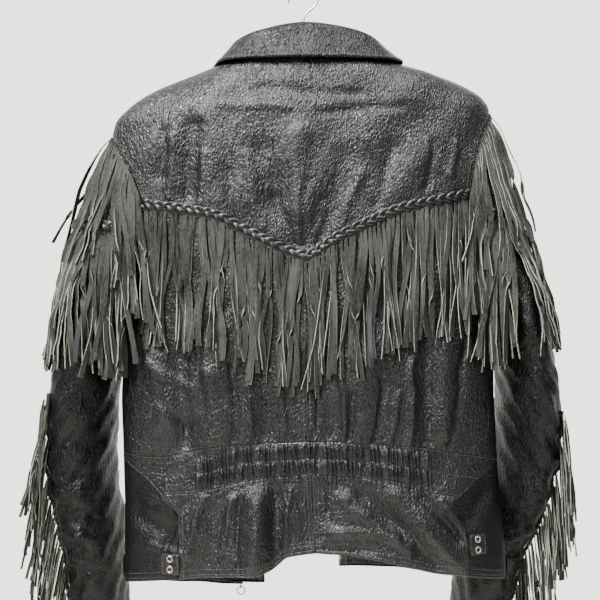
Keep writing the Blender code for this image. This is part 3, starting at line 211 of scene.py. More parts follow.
def foldHeight(folds, x, z):
    total = np.zeros(np.broadcast(x, z).shape)
    for x0, z0, x1, z1, width, depth in zip(*(folds[c] for c in ("x0", "z0", "x1", "z1", "width", "depth"))):
        runX, runZ = x1 - x0, z1 - z0
        share = np.clip(((x - x0) * runX + (z - z0) * runZ) / (runX**2 + runZ**2), 0.0, 1.0)
        away = np.hypot(x - x0 - share * runX, z - z0 - share * runZ)
        total += depth * bump(away, width)
    return total


def sectionAt(height):
    columns = ("left", "right", "back", "front", "square")
    left, right, back, front, square = (smooth(torsoCut, column, height) for column in columns)
    return (left + right) / 2, (right - left) / 2, back, front, square


def turnAt(x, height, front=False):
    # Where round the torso an x lies: 0 at the back's middle, a half turn at the front's.
    middle, half = sectionAt(height)[:2]
    turn = np.arcsin(np.clip((x - middle) / half, -1.0, 1.0))
    return np.copysign(math.pi, turn) - turn if front else turn


def plainTorso(turn, height):
    middle, half, back, front, square = sectionAt(height)
    across = np.sin(turn)
    deep = np.maximum(0.0, 1 - np.abs(across) ** square) ** (1 / square)
    y = np.where(np.cos(turn) > 0, -back * deep, front * deep)
    return np.stack(np.broadcast_arrays(middle + half * across, y, height), axis=-1)


def outwardOf(surface, u, v):
    along = surface(u + 0.004, v) - surface(u - 0.004, v)
    up = surface(u, v + 0.0015) - surface(u, v - 0.0015)
    return unit(np.cross(along, up))


def seamAt(table, share):
    return np.where(share < 0, smooth(table, "left", np.abs(share)), smooth(table, "right", np.abs(share)))


def armholeCut(side, height):
    hole = armholes[side]
    q = np.clip((hole["shoulder"] - height) / (hole["shoulder"] - hole["underarm"]), 0.0, 1.0)
    return hole["cut"] * np.maximum(0.0, np.sin(math.pi * q**0.8)) ** 0.8


def edgeTurn(side, height, facing):
    # Where round the torso a panel's side lies: at the side panel below the waist's top, at the armhole above.
    column, sign = (side + "Back", -1) if facing == "back" else ("front", 1)
    below = float(seamAt(waistTop, sideSign[side])) - height
    low = quarter + sign * smooth(sidePanelReach, column, np.maximum(0.0, below))
    return np.where(below > -1e-9, low, quarter + sign * armholeCut(side, height))


def backEdge(side, height):
    return edgeTurn(side, height, "back")


def frontEdge(side, height):
    return edgeTurn(side, height, "front")


gatherStart, gatherEnd = float(turnAt(-0.141, -0.640)), float(turnAt(0.166, -0.640))


def shirring(turn, height):
    # The waist's gathers: two puffed channels pinched by three rows of stitching, fading into the panels.
    middle = leatherForm["bandMiddle"]
    reach = np.where(turn < 0, backEdge("left", middle), backEdge("right", middle))
    share = np.clip(turn / reach, -1.0, 1.0)
    foot, top = seamAt(waistFoot, share), seamAt(waistTop, share)
    v = (height - foot) / (top - foot)
    phase = (turn - gatherStart) / (gatherEnd - gatherStart) * leatherForm["gathers"]
    wander = 0.32 * np.sin(phase * 1.7 + 1) + 0.22 * np.sin(phase * 0.61 + 2) + 0.20 * np.sin(3.2 * v + phase * 0.9)
    wave = (0.5 - 0.5 * np.cos(2 * math.pi * (phase + wander))) ** 0.85
    uneven = 0.72 + 0.28 * np.sin(phase * 2.3 + np.where(v > 0.5, 1.3, 0.0))
    channel = np.abs(np.sin(2 * math.pi * np.clip(v, 0.0, 1.0))) ** 0.6
    inside = (v >= 0) & (v <= 1)
    fading = np.where(v > 1, bump(height - top, 0.017), bump(height - foot, 0.022))
    envelope = np.where(inside, 0.32 + 0.68 * channel, 0.32 * fading)
    ends = step(0.0, 1.2, phase) * step(0.0, 1.2, leatherForm["gathers"] - phase)
    puff = np.where(inside, channel, 0.0) * leatherForm["channelPuff"]
    return (leatherForm["gatherHeight"] * wave * uneven * envelope + puff) * ends * (np.cos(turn) > 0.2)


def torso(turn, height):
    # The jacket's outside, with its folds and creases. They die out towards its sides and under the waist band.
    base = plainTorso(turn, height)
    x, z, facing = base[..., 0], base[..., 2], np.cos(turn)
    bentX = x + 0.0016 * np.sin(z * 61 + 1.1) + 0.0010 * np.sin(z * 143)
    bentZ = z + 0.0018 * np.sin(x * 57 + 0.4)
    back = foldHeight(backFolds, x, z) + leatherForm["creases"] * foldHeight(backCreases, bentX, bentZ)
    front = foldHeight(frontFolds, x, z) + leatherForm["creases"] * foldHeight(frontCreases, bentX, bentZ)
    fade = np.minimum(1.0, np.abs(facing) * 2.5)
    rise = np.where(facing > 0, back, front) * fade
    rise = rise * (1 - 0.75 * bump(height + 0.632, 0.024) * (facing > -0.2))
    hide = np.sin(37 * x + 29 * z + 1) + np.sin(-53 * x + 41 * z + 2.1) + np.sin(71 * x - 67 * z + 0.3)
    rise = rise + leatherForm["ripple"] * hide * fade + shirring(turn, height)
    return base + outwardOf(plainTorso, turn, height) * rise[..., None]


# Cloth pieces: a grid of points with their outward normals. Rows run from foot to top, columns from left to right.

class Sheet:
    def __init__(self, points):
        self.points = points
        self.normals = unit(np.cross(np.gradient(points, axis=1), np.gradient(points, axis=0)))

    def facing(self, direction, rows=slice(None)):
        # Turns the normals to the side that a direction points to.
        if (self.normals[rows] * direction).sum() < 0:
            self.normals = -self.normals
        return self

    def outward(self, middle):
        # Turns the normals away from a point inside.
        return self.facing(self.points - middle)

    def far(self, edge):
        # Each point's distance from an edge, along its own row or column.
        axis = 0 if edge in ("foot", "top") else 1
        steps = np.linalg.norm(np.diff(self.points, axis=axis), axis=-1)
        zero = np.zeros_like(np.take(steps, [0], axis=axis))
        fromFirst = np.concatenate([zero, np.cumsum(steps, axis=axis)], axis=axis)
        if edge in ("foot", "left"):
            return fromFirst
        return np.take(fromFirst, [-1], axis=axis) - fromFirst

    def at(self, column, row):
        # Points and normals at fractions of columns and rows.
        column, row = np.broadcast_arrays(np.asarray(column, float), np.asarray(row, float))
        i = np.clip(column.astype(int), 0, self.points.shape[1] - 2)
        j = np.clip(row.astype(int), 0, self.points.shape[0] - 2)
        a, b = (column - i)[..., None], (row - j)[..., None]
        found = []
        for grid in (self.points, self.normals):
            low = grid[j, i] * (1 - a) + grid[j, i + 1] * a
            high = grid[j + 1, i] * (1 - a) + grid[j + 1, i + 1] * a
            found.append(low * (1 - b) + high * b)
        return found[0], unit(found[1])

    def down(self, column, distance):
        # The rows that lie a distance from the first one, for each column of a list.
        lengths = self.far("foot")
        i = np.clip(column.astype(int), 0, lengths.shape[1] - 2)
        rows = np.arange(lengths.shape[0])
        return np.array([np.interp(d, mix(lengths[:, k], lengths[:, k + 1], c - k), rows)
                         for c, k, d in zip(column, i, distance)])

    def lineFrom(self, edge, distance):
        # The line that runs a distance inside an edge: its points and normals.
        gap = self.far(edge)
        if edge in ("left", "right"):
            points, normals, gap = self.points.transpose(1, 0, 2), self.normals.transpose(1, 0, 2), gap.T
        else:
            points, normals = self.points, self.normals
        if edge in ("top", "right"):
            points, normals, gap = points[::-1], normals[::-1], gap[::-1]
        where = np.argmax(gap >= distance, axis=0)
        where = np.clip(where, 1, gap.shape[0] - 1)
        k = np.arange(gap.shape[1])
        share = ((distance - gap[where - 1, k]) / np.maximum(gap[where, k] - gap[where - 1, k], 1e-9))[:, None]
        return (mix(points[where - 1, k], points[where, k], share),
                unit(mix(normals[where - 1, k], normals[where, k], share)))


def shares(count, length, near=()):
    # Even shares of a length, with closer lines beside its ends, where the edges are rolled and sewn.
    close = np.array([0.0006, 0.0013, 0.0024] + [d + o for d in near for o in (-0.0009, 0.0, 0.0009)]) / length
    every = np.concatenate([np.linspace(0, 1, count + 1), close, 1 - close])
    every = np.unique(np.round(every[(every >= 0) & (every <= 1)], 6))
    keep = np.concatenate([[True], np.diff(every) > 0.0004 / length])
    keep[-1] = True
    return every[keep]


# How wide the doubled leather beside an edge is, which rows are sunk in it, and which of them show stitches.
edgeKinds = {
    "plain": (0, (), ()),
    "seam": (0.0095, (0.0022, 0.0072), (0.0022, 0.0072)),
    "single": (0.0095, (0.0022,), (0.0022,)),
    "hem": (0.0135, (0.0050, 0.0115), (0.0050, 0.0115)),
    "cuff": (0.0135, (0.0050, 0.0115), (0.0115,)),
    "zipEdge": (0.0060, (0.0030,), (0.0030,)),
    "border": (0.0062, (0.0050,), (0.0050,)),
    "turned": (0.0062, (0.0050,), ()),
}
edgeRelief = {"roll": 0.0010, "raised": 0.0007, "slopes": (0.0016, 0.0022), "sunk": 0.0005, "needle": 0.0009}
stitchLines = []


def rowsOf(*kinds):
    return tuple(row for kind in kinds for row in edgeKinds[kind][1])


def sew(sheet, **edges):
    # Rolls the edges in, raises the doubled leather beside them, and sinks and remembers the rows of stitches.
    rise = np.zeros(sheet.points.shape[:2])
    near, beyond = edgeRelief["slopes"]
    for edge, kind in edges.items():
        wide, rows, _ = edgeKinds[kind]
        gap = sheet.far(edge)
        rise -= edgeRelief["roll"] * bump(gap, edgeRelief["roll"])
        if wide:
            rise += edgeRelief["raised"] * (step(0.0, near, gap) - step(wide, wide + beyond, gap))
        for row in rows:
            rise -= edgeRelief["sunk"] * bump(gap - row, edgeRelief["needle"])
    sheet.points = sheet.points + sheet.normals * rise[..., None]
    for edge, kind in edges.items():
        stitchLines.extend(sheet.lineFrom(edge, row) for row in edgeKinds[kind][2])


def cutOf(sheet):
    # The flat size of a piece: its longest row and column, and its area.
    rows = np.linalg.norm(np.diff(sheet.points, axis=1), axis=-1).sum(1).max()
    columns = np.linalg.norm(np.diff(sheet.points, axis=0), axis=-1).sum(0).max()
    a = sheet.points[1:, 1:] - sheet.points[:-1, :-1]
    b = sheet.points[1:, :-1] - sheet.points[:-1, 1:]
    area = np.linalg.norm(np.cross(a, b), axis=-1).sum() / 2
    return float(rows), float(columns), float(min(area, rows * columns))


cutSizes = {}
goesWith = {}


def meshObject(name, mesh, materials, body="jacket"):
    obj = bpy.data.objects.new(name, mesh)
    bpy.context.scene.collection.objects.link(obj)
    for material in materials:
        mesh.materials.append(material)
    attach(obj, body)
    return obj


def gridMesh(name, points, normals):
    # A bmesh grid with each of its corners moved to a point of the sheet, faces outwards.
    rows, columns = points.shape[:2]
    bm = bmesh.new()
    bmesh.ops.create_grid(bm, x_segments=columns - 1, y_segments=rows - 1, size=1.0)
    for edge in bm.edges:
        edge.smooth = not edge.is_boundary
    for face in bm.faces:
        face.smooth = True
    mesh = bpy.data.meshes.new(name)
    bm.to_mesh(mesh)
    bm.free()
    flat = np.zeros(len(mesh.vertices) * 3)
    mesh.vertices.foreach_get("co", flat)
    flat = flat.reshape(-1, 3)
    i = np.rint((flat[:, 0] + 1) / 2 * (columns - 1)).astype(int)
    j = np.rint((flat[:, 1] + 1) / 2 * (rows - 1)).astype(int)
    facing = np.cross(points[1:, 1:] - points[:-1, :-1], points[1:, :-1] - points[:-1, 1:])
    if (facing * normals[1:, 1:]).sum() < 0:
        i = columns - 1 - i
    mesh.vertices.foreach_set("co", points[j, i].ravel())
    mesh.update()
    return mesh


def joinedMesh(name, rings, materials, body="jacket", sides=None, sharp=0.7):
    # Many closed strips in one mesh: an array of strips, each a row of rings with the same number of corners.
    count, length, corners = rings.shape[:3]
    index = np.arange(count * length * corners).reshape(count, length, corners)
    after = np.roll(index, -1, axis=2)
    walls = np.stack([index[:, :-1], after[:, :-1], after[:, 1:], index[:, 1:]], axis=-1).reshape(-1, 4)
    ends = np.concatenate([index[:, 0, ::-1], index[:, -1]])
    mesh = bpy.data.meshes.new(name)
    mesh.from_pydata(rings.reshape(-1, 3).tolist(), [], walls.tolist() + ends.tolist())
    kinds = np.zeros(len(walls) + len(ends), int)
    if sides is not None:
        kinds[:len(walls)] = np.broadcast_to(sides, (count, length - 1, corners)).reshape(-1)
    mesh.polygons.foreach_set("material_index", kinds)
    mesh.polygons.foreach_set("use_smooth", np.ones(len(kinds), bool))
    mesh.set_sharp_from_angle(angle=sharp)
    mesh.update()
    return meshObject(name, mesh, materials, body)


def settle(obj, nodes, partner=None):
    # Hides the parts that a piece replaces, and notes the cloth piece that it moves with.
    if nodes:
        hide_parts(*nodes)
    if partner:
        goesWith.setdefault(partner, []).append(obj)


def leatherPiece(name, sheet, node, look="leather", wall=leatherForm["wall"], held="hung"):
    obj = meshObject(name, gridMesh(name, sheet.points, sheet.normals), [finishes[look]])
    solidify = obj.modifiers.new("wall", "SOLIDIFY")
    solidify.thickness = wall
    solidify.offset = -1.0
    settle(obj, [node])
    cutSizes[name] = (obj, cutOf(sheet), held)


# Finishes

def linearOf(colour):
    # sRGB hex to linear values.
    parts = [int(colour[k:k + 2], 16) / 255 for k in (1, 3, 5)]
    return (*(c / 12.92 if c <= 0.04045 else ((c + 0.055) / 1.055) ** 2.4 for c in parts), 1.0)


def addNode(material, kind, inputs=None, **settings):
    node = material.node_tree.nodes.new(kind)
    for name, value in settings.items():
        setattr(node, name, value)
    for name, value in (inputs or {}).items():
        if isinstance(value, bpy.types.NodeSocket):
            material.node_tree.links.new(value, node.inputs[name])
        else:
            node.inputs[name].default_value = value
    return node


def newFinish(name, **sockets):
    material = bpy.data.materials.new(name)
    material.use_nodes = True
    shader = material.node_tree.nodes["Principled BSDF"]
    for socket, value in sockets.items():
        shader.inputs[socket.replace("_", " ")].default_value = value
    return material, shader


def plug(material, source, shader, socket):
    material.node_tree.links.new(source, shader.inputs[socket])


def mapped(material, scale=(1, 1, 1)):
    # Object coordinates in metres, stretched by a scale for each axis.
    place = addNode(material, "ShaderNodeTexCoord")
    return addNode(material, "ShaderNodeMapping", {"Vector": place.outputs["Object"], "Scale": scale}).outputs[0]


def noise(material, place, scale, detail, output="Fac", **inputs):
    node = addNode(material, "ShaderNodeTexNoise", {"Vector": place, "Scale": scale, "Detail": detail, **inputs})
    return node.outputs[output]


def ranged(material, value, low, high, first=0.0, last=1.0, **settings):
    # A value from low to high, laid out from first to last.
    limits = {"From Min": low, "From Max": high, "To Min": first, "To Max": last}
    return addNode(material, "ShaderNodeMapRange", {"Value": value, **limits}, **settings).outputs[0]


def combined(material, a, b, operation):
    return addNode(material, "ShaderNodeMath", {0: a, 1: b}, operation=operation).outputs[0]


def relief(material, height, distance, strength, **under):
    inputs = {"Height": height, "Distance": distance, "Strength": strength, **under}
    return addNode(material, "ShaderNodeBump", inputs).outputs[0]


def mixColours(material, factor, dark, light):
    node = addNode(material, "ShaderNodeMix", data_type="RGBA")
    colours = [s for s in node.inputs if s.type == "RGBA"]
    colours[0].default_value, colours[1].default_value = linearOf(dark), linearOf(light)
    material.node_tree.links.new(factor, node.inputs[0])
    return [s for s in node.outputs if s.type == "RGBA"][0]


leatherLook = {
    # The second colour is the rubbed grey of worn pebble tops; the grooves keep the first colour, which is painted
    # shade.
    "colour": "#020202", "wearAndGrooveShade": "#100f0e", "roughness": (0.34, 0.50),
    "pebble": 0.0030,        # metres across one pebble of the grain
    "pebbleHeight": 0.0006,
    "wrinkle": 0.0062,       # metres between the skin's fine wrinkles
    "wrinkleHeight": 0.0034,
    "longer": (0.46, 0.30),  # pebbles and wrinkles are drawn out along Z by these scales
    "shine": 0.26,
}


def cowhide(name, look):
    # Pigmented cowhide, drum dyed and tumbled: semi-gloss pebbles with dull grooves, greyer in random worn patches on
    # the pebble tops, and darker in the grooves as painted shade.
    material, shader = newFinish(name, IOR=1.5, Specular_IOR_Level=look["shine"])
    plain = mapped(material)
    drift = noise(material, plain, 48.0, 2.0, "Color")
    pushed = addNode(material, "ShaderNodeVectorMath", {0: drift, 3: 0.010}, operation="SCALE")
    moved = addNode(material, "ShaderNodeVectorMath", {0: plain, 1: pushed.outputs[0]}, operation="ADD").outputs[0]
    cellPlace, skinPlace = (
        addNode(material, "ShaderNodeMapping", {"Vector": moved, "Scale": (1.0, 1.0, longer)}).outputs[0]
        for longer in look["longer"])
    cells = addNode(material, "ShaderNodeTexVoronoi", {"Vector": cellPlace, "Scale": 1 / look["pebble"]},
                    feature="DISTANCE_TO_EDGE")
    pebbles = ranged(material, cells.outputs["Distance"], 0.0, 0.30, interpolation_type="SMOOTHSTEP")
    strength = ranged(material, noise(material, plain, 26.0, 3.0), 0.36, 0.62, 0.62, 1.0)
    grain = combined(material, pebbles, strength, "MULTIPLY")
    skin = addNode(material, "ShaderNodeTexNoise", {
        "Vector": skinPlace, "Scale": 1 / look["wrinkle"], "Detail": 4.0, "Roughness": 0.60, "Distortion": 0.9,
    }, noise_type="RIDGED_MULTIFRACTAL")
    wrinkles = relief(material, skin.outputs["Fac"], look["wrinkleHeight"], 0.55)
    patches = ranged(material, noise(material, plain, 9.0, 6.0, Roughness=0.6), 0.40, 0.72)
    # The colour mask: random worn patches on the pebble tops, and painted shade in the grooves where the grain is
    # low.
    wearAndGrooveShade = combined(material, patches, grain, "MULTIPLY")
    smoothest, dullest = look["roughness"]
    plug(material, mixColours(material, wearAndGrooveShade, look["colour"], look["wearAndGrooveShade"]), shader, "Base Color")
    plug(material, ranged(material, grain, 0.0, 1.0, dullest, smoothest), shader, "Roughness")
    plug(material, relief(material, grain, look["pebbleHeight"], 0.9, Normal=wrinkles), shader, "Normal")
    return material


suedeLook = {"dark": "#070807", "light": "#2b2d28", "edge": "#717268", "fibre": 0.0011, "fibreHeight": 0.00025}


def suede(name, dark, light, fibreHeight=suedeLook["fibreHeight"]):
    # Split cowhide, flesh side out: matt, with a short nap that catches light, darker where it has been handled.
    material, shader = newFinish(
        name, Roughness=0.92, Sheen_Weight=0.04, Sheen_Roughness=0.45, Specular_IOR_Level=0.12)
    fibres = noise(material, mapped(material, (1.0, 1.0, 0.22)), 1 / suedeLook["fibre"], 3.0)
    handled = noise(material, mapped(material, (1.0, 1.0, 0.30)), 42.0, 4.0, Roughness=0.6)
    share = ranged(material, combined(material, fibres, handled, "ADD"), 0.80, 1.22)
    plug(material, mixColours(material, share, dark, light), shader, "Base Color")
    plug(material, relief(material, fibres, fibreHeight, 0.8), shader, "Normal")
    return material


def fineSkin(name, colours, tone, grain=None, **sockets):
    # A fine noise in the colour, and another one raised on the surface: scale, detail, height and strength.
    material, shader = newFinish(name, **sockets)
    shade = noise(material, mapped(material), *tone)
    plug(material, mixColours(material, shade, *colours), shader, "Base Color")
    if grain:
        scale, detail, height, strength = grain
        fine = noise(material, mapped(material), scale, detail)
        plug(material, relief(material, fine, height, strength), shader, "Normal")
    return material


def smoothLeather(name, colour, roughness):
    # Thin vegetable-tanned lacing and strand backs: finer grain and more gloss than the panels.
    return fineSkin(name, (colour, "#0b0b0c"), (60.0, 3.0), (620.0, 3.0, 0.0003, 0.5),
                    Roughness=roughness, IOR=1.5, Specular_IOR_Level=0.22)


def spunThread(name):
    # Bonded polyester thread, waxed black; its twist is drawn at 0.6 mm.
    return fineSkin(name, ("#060606", "#161616"), (1600.0, 2.0), Roughness=0.55, Sheen_Weight=0.15)


def wovenTape(name):
    # Polyester zip tape: a herringbone too fine to show, drawn at 1.1 mm.
    material, shader = newFinish(name, Roughness=0.85, Sheen_Weight=0.2)
    weave = addNode(material, "ShaderNodeTexWave", {
        "Vector": mapped(material), "Scale": 145.0, "Distortion": 0.6}, bands_direction="Z").outputs["Fac"]
    plug(material, mixColours(material, weave, "#0c0c0d", "#1f1f20"), shader, "Base Color")
    plug(material, relief(material, weave, 0.0003, 0.7), shader, "Normal")
    return material


def platedMetal(name, colour, tarnish, roughness):
    # Nickel-plated brass or drawn wire: bright, with fine rub marks and a little tarnish.
    material, shader = newFinish(name, Metallic=1.0)
    marks = noise(material, mapped(material), 420.0, 5.0)
    plug(material, mixColours(material, marks, tarnish, colour), shader, "Base Color")
    plug(material, ranged(material, marks, 0.3, 0.7, roughness, roughness + 0.16), shader, "Roughness")
    return material


def mouldedPlastic(name, colour):
    # Injection-moulded polystyrene with a fine spark-eroded skin.
    return fineSkin(name, (colour, "#262627"), (900.0, 2.0), (900.0, 2.0, 0.0002, 0.5), Roughness=0.46, IOR=1.55)


finishes = {
    "leather": cowhide("pebbledCowhide", leatherLook),
    "gusset": cowhide("smootherCowhide", {
        **leatherLook, "pebbleHeight": 0.0004, "wrinkleHeight": 0.0016, "shine": 0.15, "roughness": (0.36, 0.52)}),
    # The sleeves' and collar's copy of the panels' leather: deeper wrinkles, less shine, and a darker base colour,
    # which is painted shade.
    "sleeve": cowhide("creasedShadedCowhide", {**leatherLook, "colour": "#010101", "wrinkleHeight": 0.0042, "shine": 0.15}),
    # A dark suede finish used only for the discs of painted shade in the eyelets' holes.
    "inside": suede("paintedHoleShade", "#080808", "#121212"),
    "flesh": suede("oliveSplitSuede", suedeLook["dark"], suedeLook["light"]),
    "cutEdge": suede("suedeCutEdge", "#3c3d37", suedeLook["edge"], 0.0001),
    "strandBack": smoothLeather("strandGrainSide", "#080808", 0.60),
    "plait": smoothLeather("plaitedLacing", "#040404", 0.34),
    "thread": spunThread("blackThread"),
    "tape": wovenTape("zipTapeWeave"),
    "darkNickel": platedMetal("blackNickel", "#4a4743", "#23211f", 0.26),
    "nickel": platedMetal("nickelPlatedBrass", "#a39e92", "#4b4740", 0.24),
    "steel": platedMetal("drawnSteelWire", "#b9b9ba", "#7c7c7e", 0.24),
    "plastic": mouldedPlastic("hangerPolystyrene", "#161617"),
}
print("finishes made")


# Body panels

neckKnee = {
    "peplum": None, "band": None,
    "lower": (waistTop, yokeSeam, "underarm"), "yoke": (yokeSeam, None, "shoulder"),
}
panelSeams = {
    "peplum": (hemLine, waistFoot), "band": (waistFoot, waistTop),
    "lower": (waistTop, yokeSeam), "yoke": (yokeSeam, None),
}


def kneeShare(panel, side, v):
    # The share of the way up a panel's side, with its middle at the armhole's end.
    if neckKnee[panel] is None:
        return v
    foot, top, corner = neckKnee[panel]
    low = float(seamAt(foot, sideSign[side]))
    high = neckHeight if top is None else float(seamAt(top, sideSign[side]))
    return np.interp(v, (0.0, 0.5, 1.0), (0.0, (armholes[side][corner] - low) / (high - low), 1.0))


def panelHeight(panel, share, v):
    foot, top = panelSeams[panel]
    low = seamAt(foot, share)
    high = neckHeight if top is None else seamAt(top, share)
    left, right = kneeShare(panel, "left", v), kneeShare(panel, "right", v)
    return low + (high - low) * mix(left, right, (share + 1) / 2)


def backPlaces(panel, share, v):
    share, v = np.meshgrid(share, v)
    left, right = (backEdge(side, panelHeight(panel, sideSign[side], v)) for side in sideSign)
    return share * np.where(share < 0, left, right), panelHeight(panel, share, v)


def sideHeights(side):
    # The heights of the solids' rows along a side of the body, from hem to neck.
    share, found = sideSign[side], []
    for panel, rows in (("peplum", 4), ("band", 4), ("lower", 8), ("yoke", 8)):
        found += [float(panelHeight(panel, share, k / rows)) for k in range(1 if found else 0, rows + 1)]
    return np.array(found)


def hemDrop(side, height, across):
    foot, top = float(seamAt(hemLine, sideSign[side])), float(seamAt(waistFoot, sideSign[side]))
    return sideHemDrop * across * np.maximum(0.0, (top - height) / (top - foot))


def frontPlaces(side, height, across):
    # Places on a front: across is 0 at the side seam and 1 at the opening edge.
    cut, sign = frontCut[side], sideSign[side]
    foot = float(seamAt(hemLine, sign))
    up = (height - foot) / (neckHeight - foot)
    edgeHeight = mix(cut["hem"], cut["neck"], up)
    ease = across * across * (3 - 2 * across)
    there = mix(height - hemDrop(side, height, 1.0), edgeHeight, ease)
    edgeTurn = np.abs(turnAt(mix(cut["footX"], cut["topX"], up), edgeHeight, front=True))
    turn = mix(frontEdge(side, height), edgeTurn, across)
    shoulder = armholes[side]["shoulder"]
    rise = (height - shoulder) / (neckHeight - shoulder)
    neckX = mix(torsoCut[side][-1], cut["topX"], across)
    neckZ = mix(neckHeight, cut["neck"], ease)
    turned = mix(turn, np.abs(turnAt(neckX, neckZ, front=True)), np.clip(rise, 0.0, 1.0))
    return sign * np.where(rise > 0, turned, turn), there


bodyMiddle = np.array((0.0, 0.0, -0.45))
# Columns and rows of each panel's grid, and its width and height, by which the lines beside its edges are placed.
panelGrids = {
    "yoke": (150, 84, 0.48, 0.25), "lower": (165, 74, 0.24, 0.28), "peplum": (165, 46, 0.24, 0.11),
    "gusset": (60, 60, 0.13, 0.155), "front": (44, 130, 0.17, 0.66),
}


def panelShares(panel, sides, ends):
    columns, rows, wide, tall = panelGrids[panel]
    return shares(columns, wide, sides), shares(rows, tall, ends)


def bodyPanel(name, node, panel, low, high, **edges):
    across, up = panelShares(panel, rowsOf("seam"), rowsOf("seam", "hem"))
    turn, height = backPlaces(panel, mix(low, high, across), up)
    sheet = Sheet(torso(turn, height)).outward(bodyMiddle)
    sew(sheet, **edges)
    leatherPiece(name, sheet, node)
    return sheet


body = {"yoke": bodyPanel("yokeLeather", "yoke", "yoke", -1.0, 1.0,
                          foot="plain", left="seam", right="seam", top="plain")}
for side, low, high, centre in (("left", -1.0, 0.0, "right"), ("right", 0.0, 1.0, "left")):
    body["lower_" + side] = bodyPanel(
        "lowerBack_" + side, "back_" + side, "lower", low, high,
        **{centre: "seam", side: "plain"}, foot="plain", top="plain")
    body["peplum_" + side] = bodyPanel(
        "peplumSkirt_" + side, "peplum_" + side, "peplum", low, high,
        **{centre: "seam", side: "seam"}, foot="hem", top="plain")


def waistBand():
    # Its columns stand closer over the gathers, and three rows of stitches pinch its two channels.
    inner = np.linspace(gatherStart, gatherEnd, leatherForm["gathers"] * 8 + 1)
    before, after = np.linspace(1, 0, 17)[:-1], np.linspace(0, 1, 17)[1:]
    v = np.unique(np.round(np.concatenate([np.linspace(0, 1, 29), [0.03, 0.47, 0.53, 0.97]]), 4))
    turns, heights = [], []
    for share in v:
        left = -float(backEdge("left", panelHeight("band", -1.0, share)))
        right = float(backEdge("right", panelHeight("band", 1.0, share)))
        row = np.concatenate([mix(gatherStart, left, before), inner, mix(gatherEnd, right, after)])
        turns.append(row)
        heights.append(panelHeight("band", np.where(row < 0, row / -left, row / right), share))
    sheet = Sheet(torso(np.array(turns), np.array(heights))).outward(bodyMiddle)
    for row in (0.022, 0.5, 0.978):
        stitchLines.append(sheet.at(np.arange(sheet.points.shape[1]), np.interp(row, v, np.arange(len(v)))))
    sew(sheet, left="plain", right="plain")
    leatherPiece("shirredWaistBand", sheet, "waist_band", held="gathered")


waistBand()
print("back panels made")

for side in ("left", "right"):
    sign = sideSign[side]
    footHeight, topHeight = float(seamAt(hemLine, sign)), float(seamAt(waistTop, sign))
    part, up = panelShares("gusset", rowsOf("seam"), rowsOf("hem"))
    part, height = np.meshgrid(part, mix(footHeight, topHeight, up))
    turn = sign * mix(backEdge(side, height), frontEdge(side, height), part)
    sheet = Sheet(torso(turn, height - hemDrop(side, height, part))).outward(bodyMiddle)
    sew(sheet, left="plain", right="plain", foot="hem", top="plain")
    body["gusset_" + side] = sheet
    leatherPiece("sideGusset_" + side, sheet, "side_panel_" + side, "gusset")

    across, up = panelShares("front", (0.0030, 0.0072), rowsOf("seam", "hem"))
    across, height = np.meshgrid(across, mix(footHeight, neckHeight, up))
    sheet = Sheet(torso(*frontPlaces(side, height, across))).outward(bodyMiddle)
    sew(sheet, left="seam", right="zipEdge", foot="hem", top="plain")
    body["front_" + side] = sheet
    leatherPiece("frontPanel_" + side, sheet, "front_" + side)
print("fronts and side panels made")

# Sleeves

sleeveCut = {
    "left": tableOf(
        "height x y across along turn",
        (-480, -285, 6, 40, 80, 0.05), (-548.6, -291, 12, 43, 78, 0.1), (-640, -296, 24, 43, 72, 0.15),
        (-740, -283, 45, 38, 65, 0.2), (-800, -281, 58, 36, 59, 0.2), (-870, -271, 70, 35, 53, 0.2),
        plain="turn",
    ),
    "right": tableOf(
        "height x y across along turn",
        (-480, 291, 8, 33.5, 84, 0.08), (-548.6, 299, 16, 35, 82, 0.15), (-612, 298, 32, 36, 78, 0.28),
        (-688, 285, 60, 36, 70, 0.36), (-764.5, 264, 88, 36, 62, 0.36), (-810, 254, 100, 36, 58, 0.32),
        (-875, 243, 112, 35, 53, 0.28),
        plain="turn",
    ),
}
sleeveForm = {
    "knots": 16,                       # corners of the armhole
    "seams": (0.125, 0.625),           # shares of the way round, from the shoulder by the back
    "leave": {"left": 0.56, "right": 0.36},
    "columns": 66, "settingRows": 30, "tubeRows": 108,
    "tremble": 0.0009,
}
sleeveFolds = ringsOf(
    (0.2, 0.52, 0.1, 0.02, -5, 0), (0.26, 0.6, 0.12, 0.018, -6, 0), (0.3, 0.7, 0.1, 0.016, -5, 0),
    (0.24, 0.79, 0.12, 0.016, -5, 0), (0.25, 0.65, 0.12, 0.016, 4, 0), (0.22, 0.745, 0.12, 0.016, 4, 0),
    (0.75, 0.58, 0.12, 0.02, -6, 0), (0.75, 0.68, 0.12, 0.02, -5, 0),
)
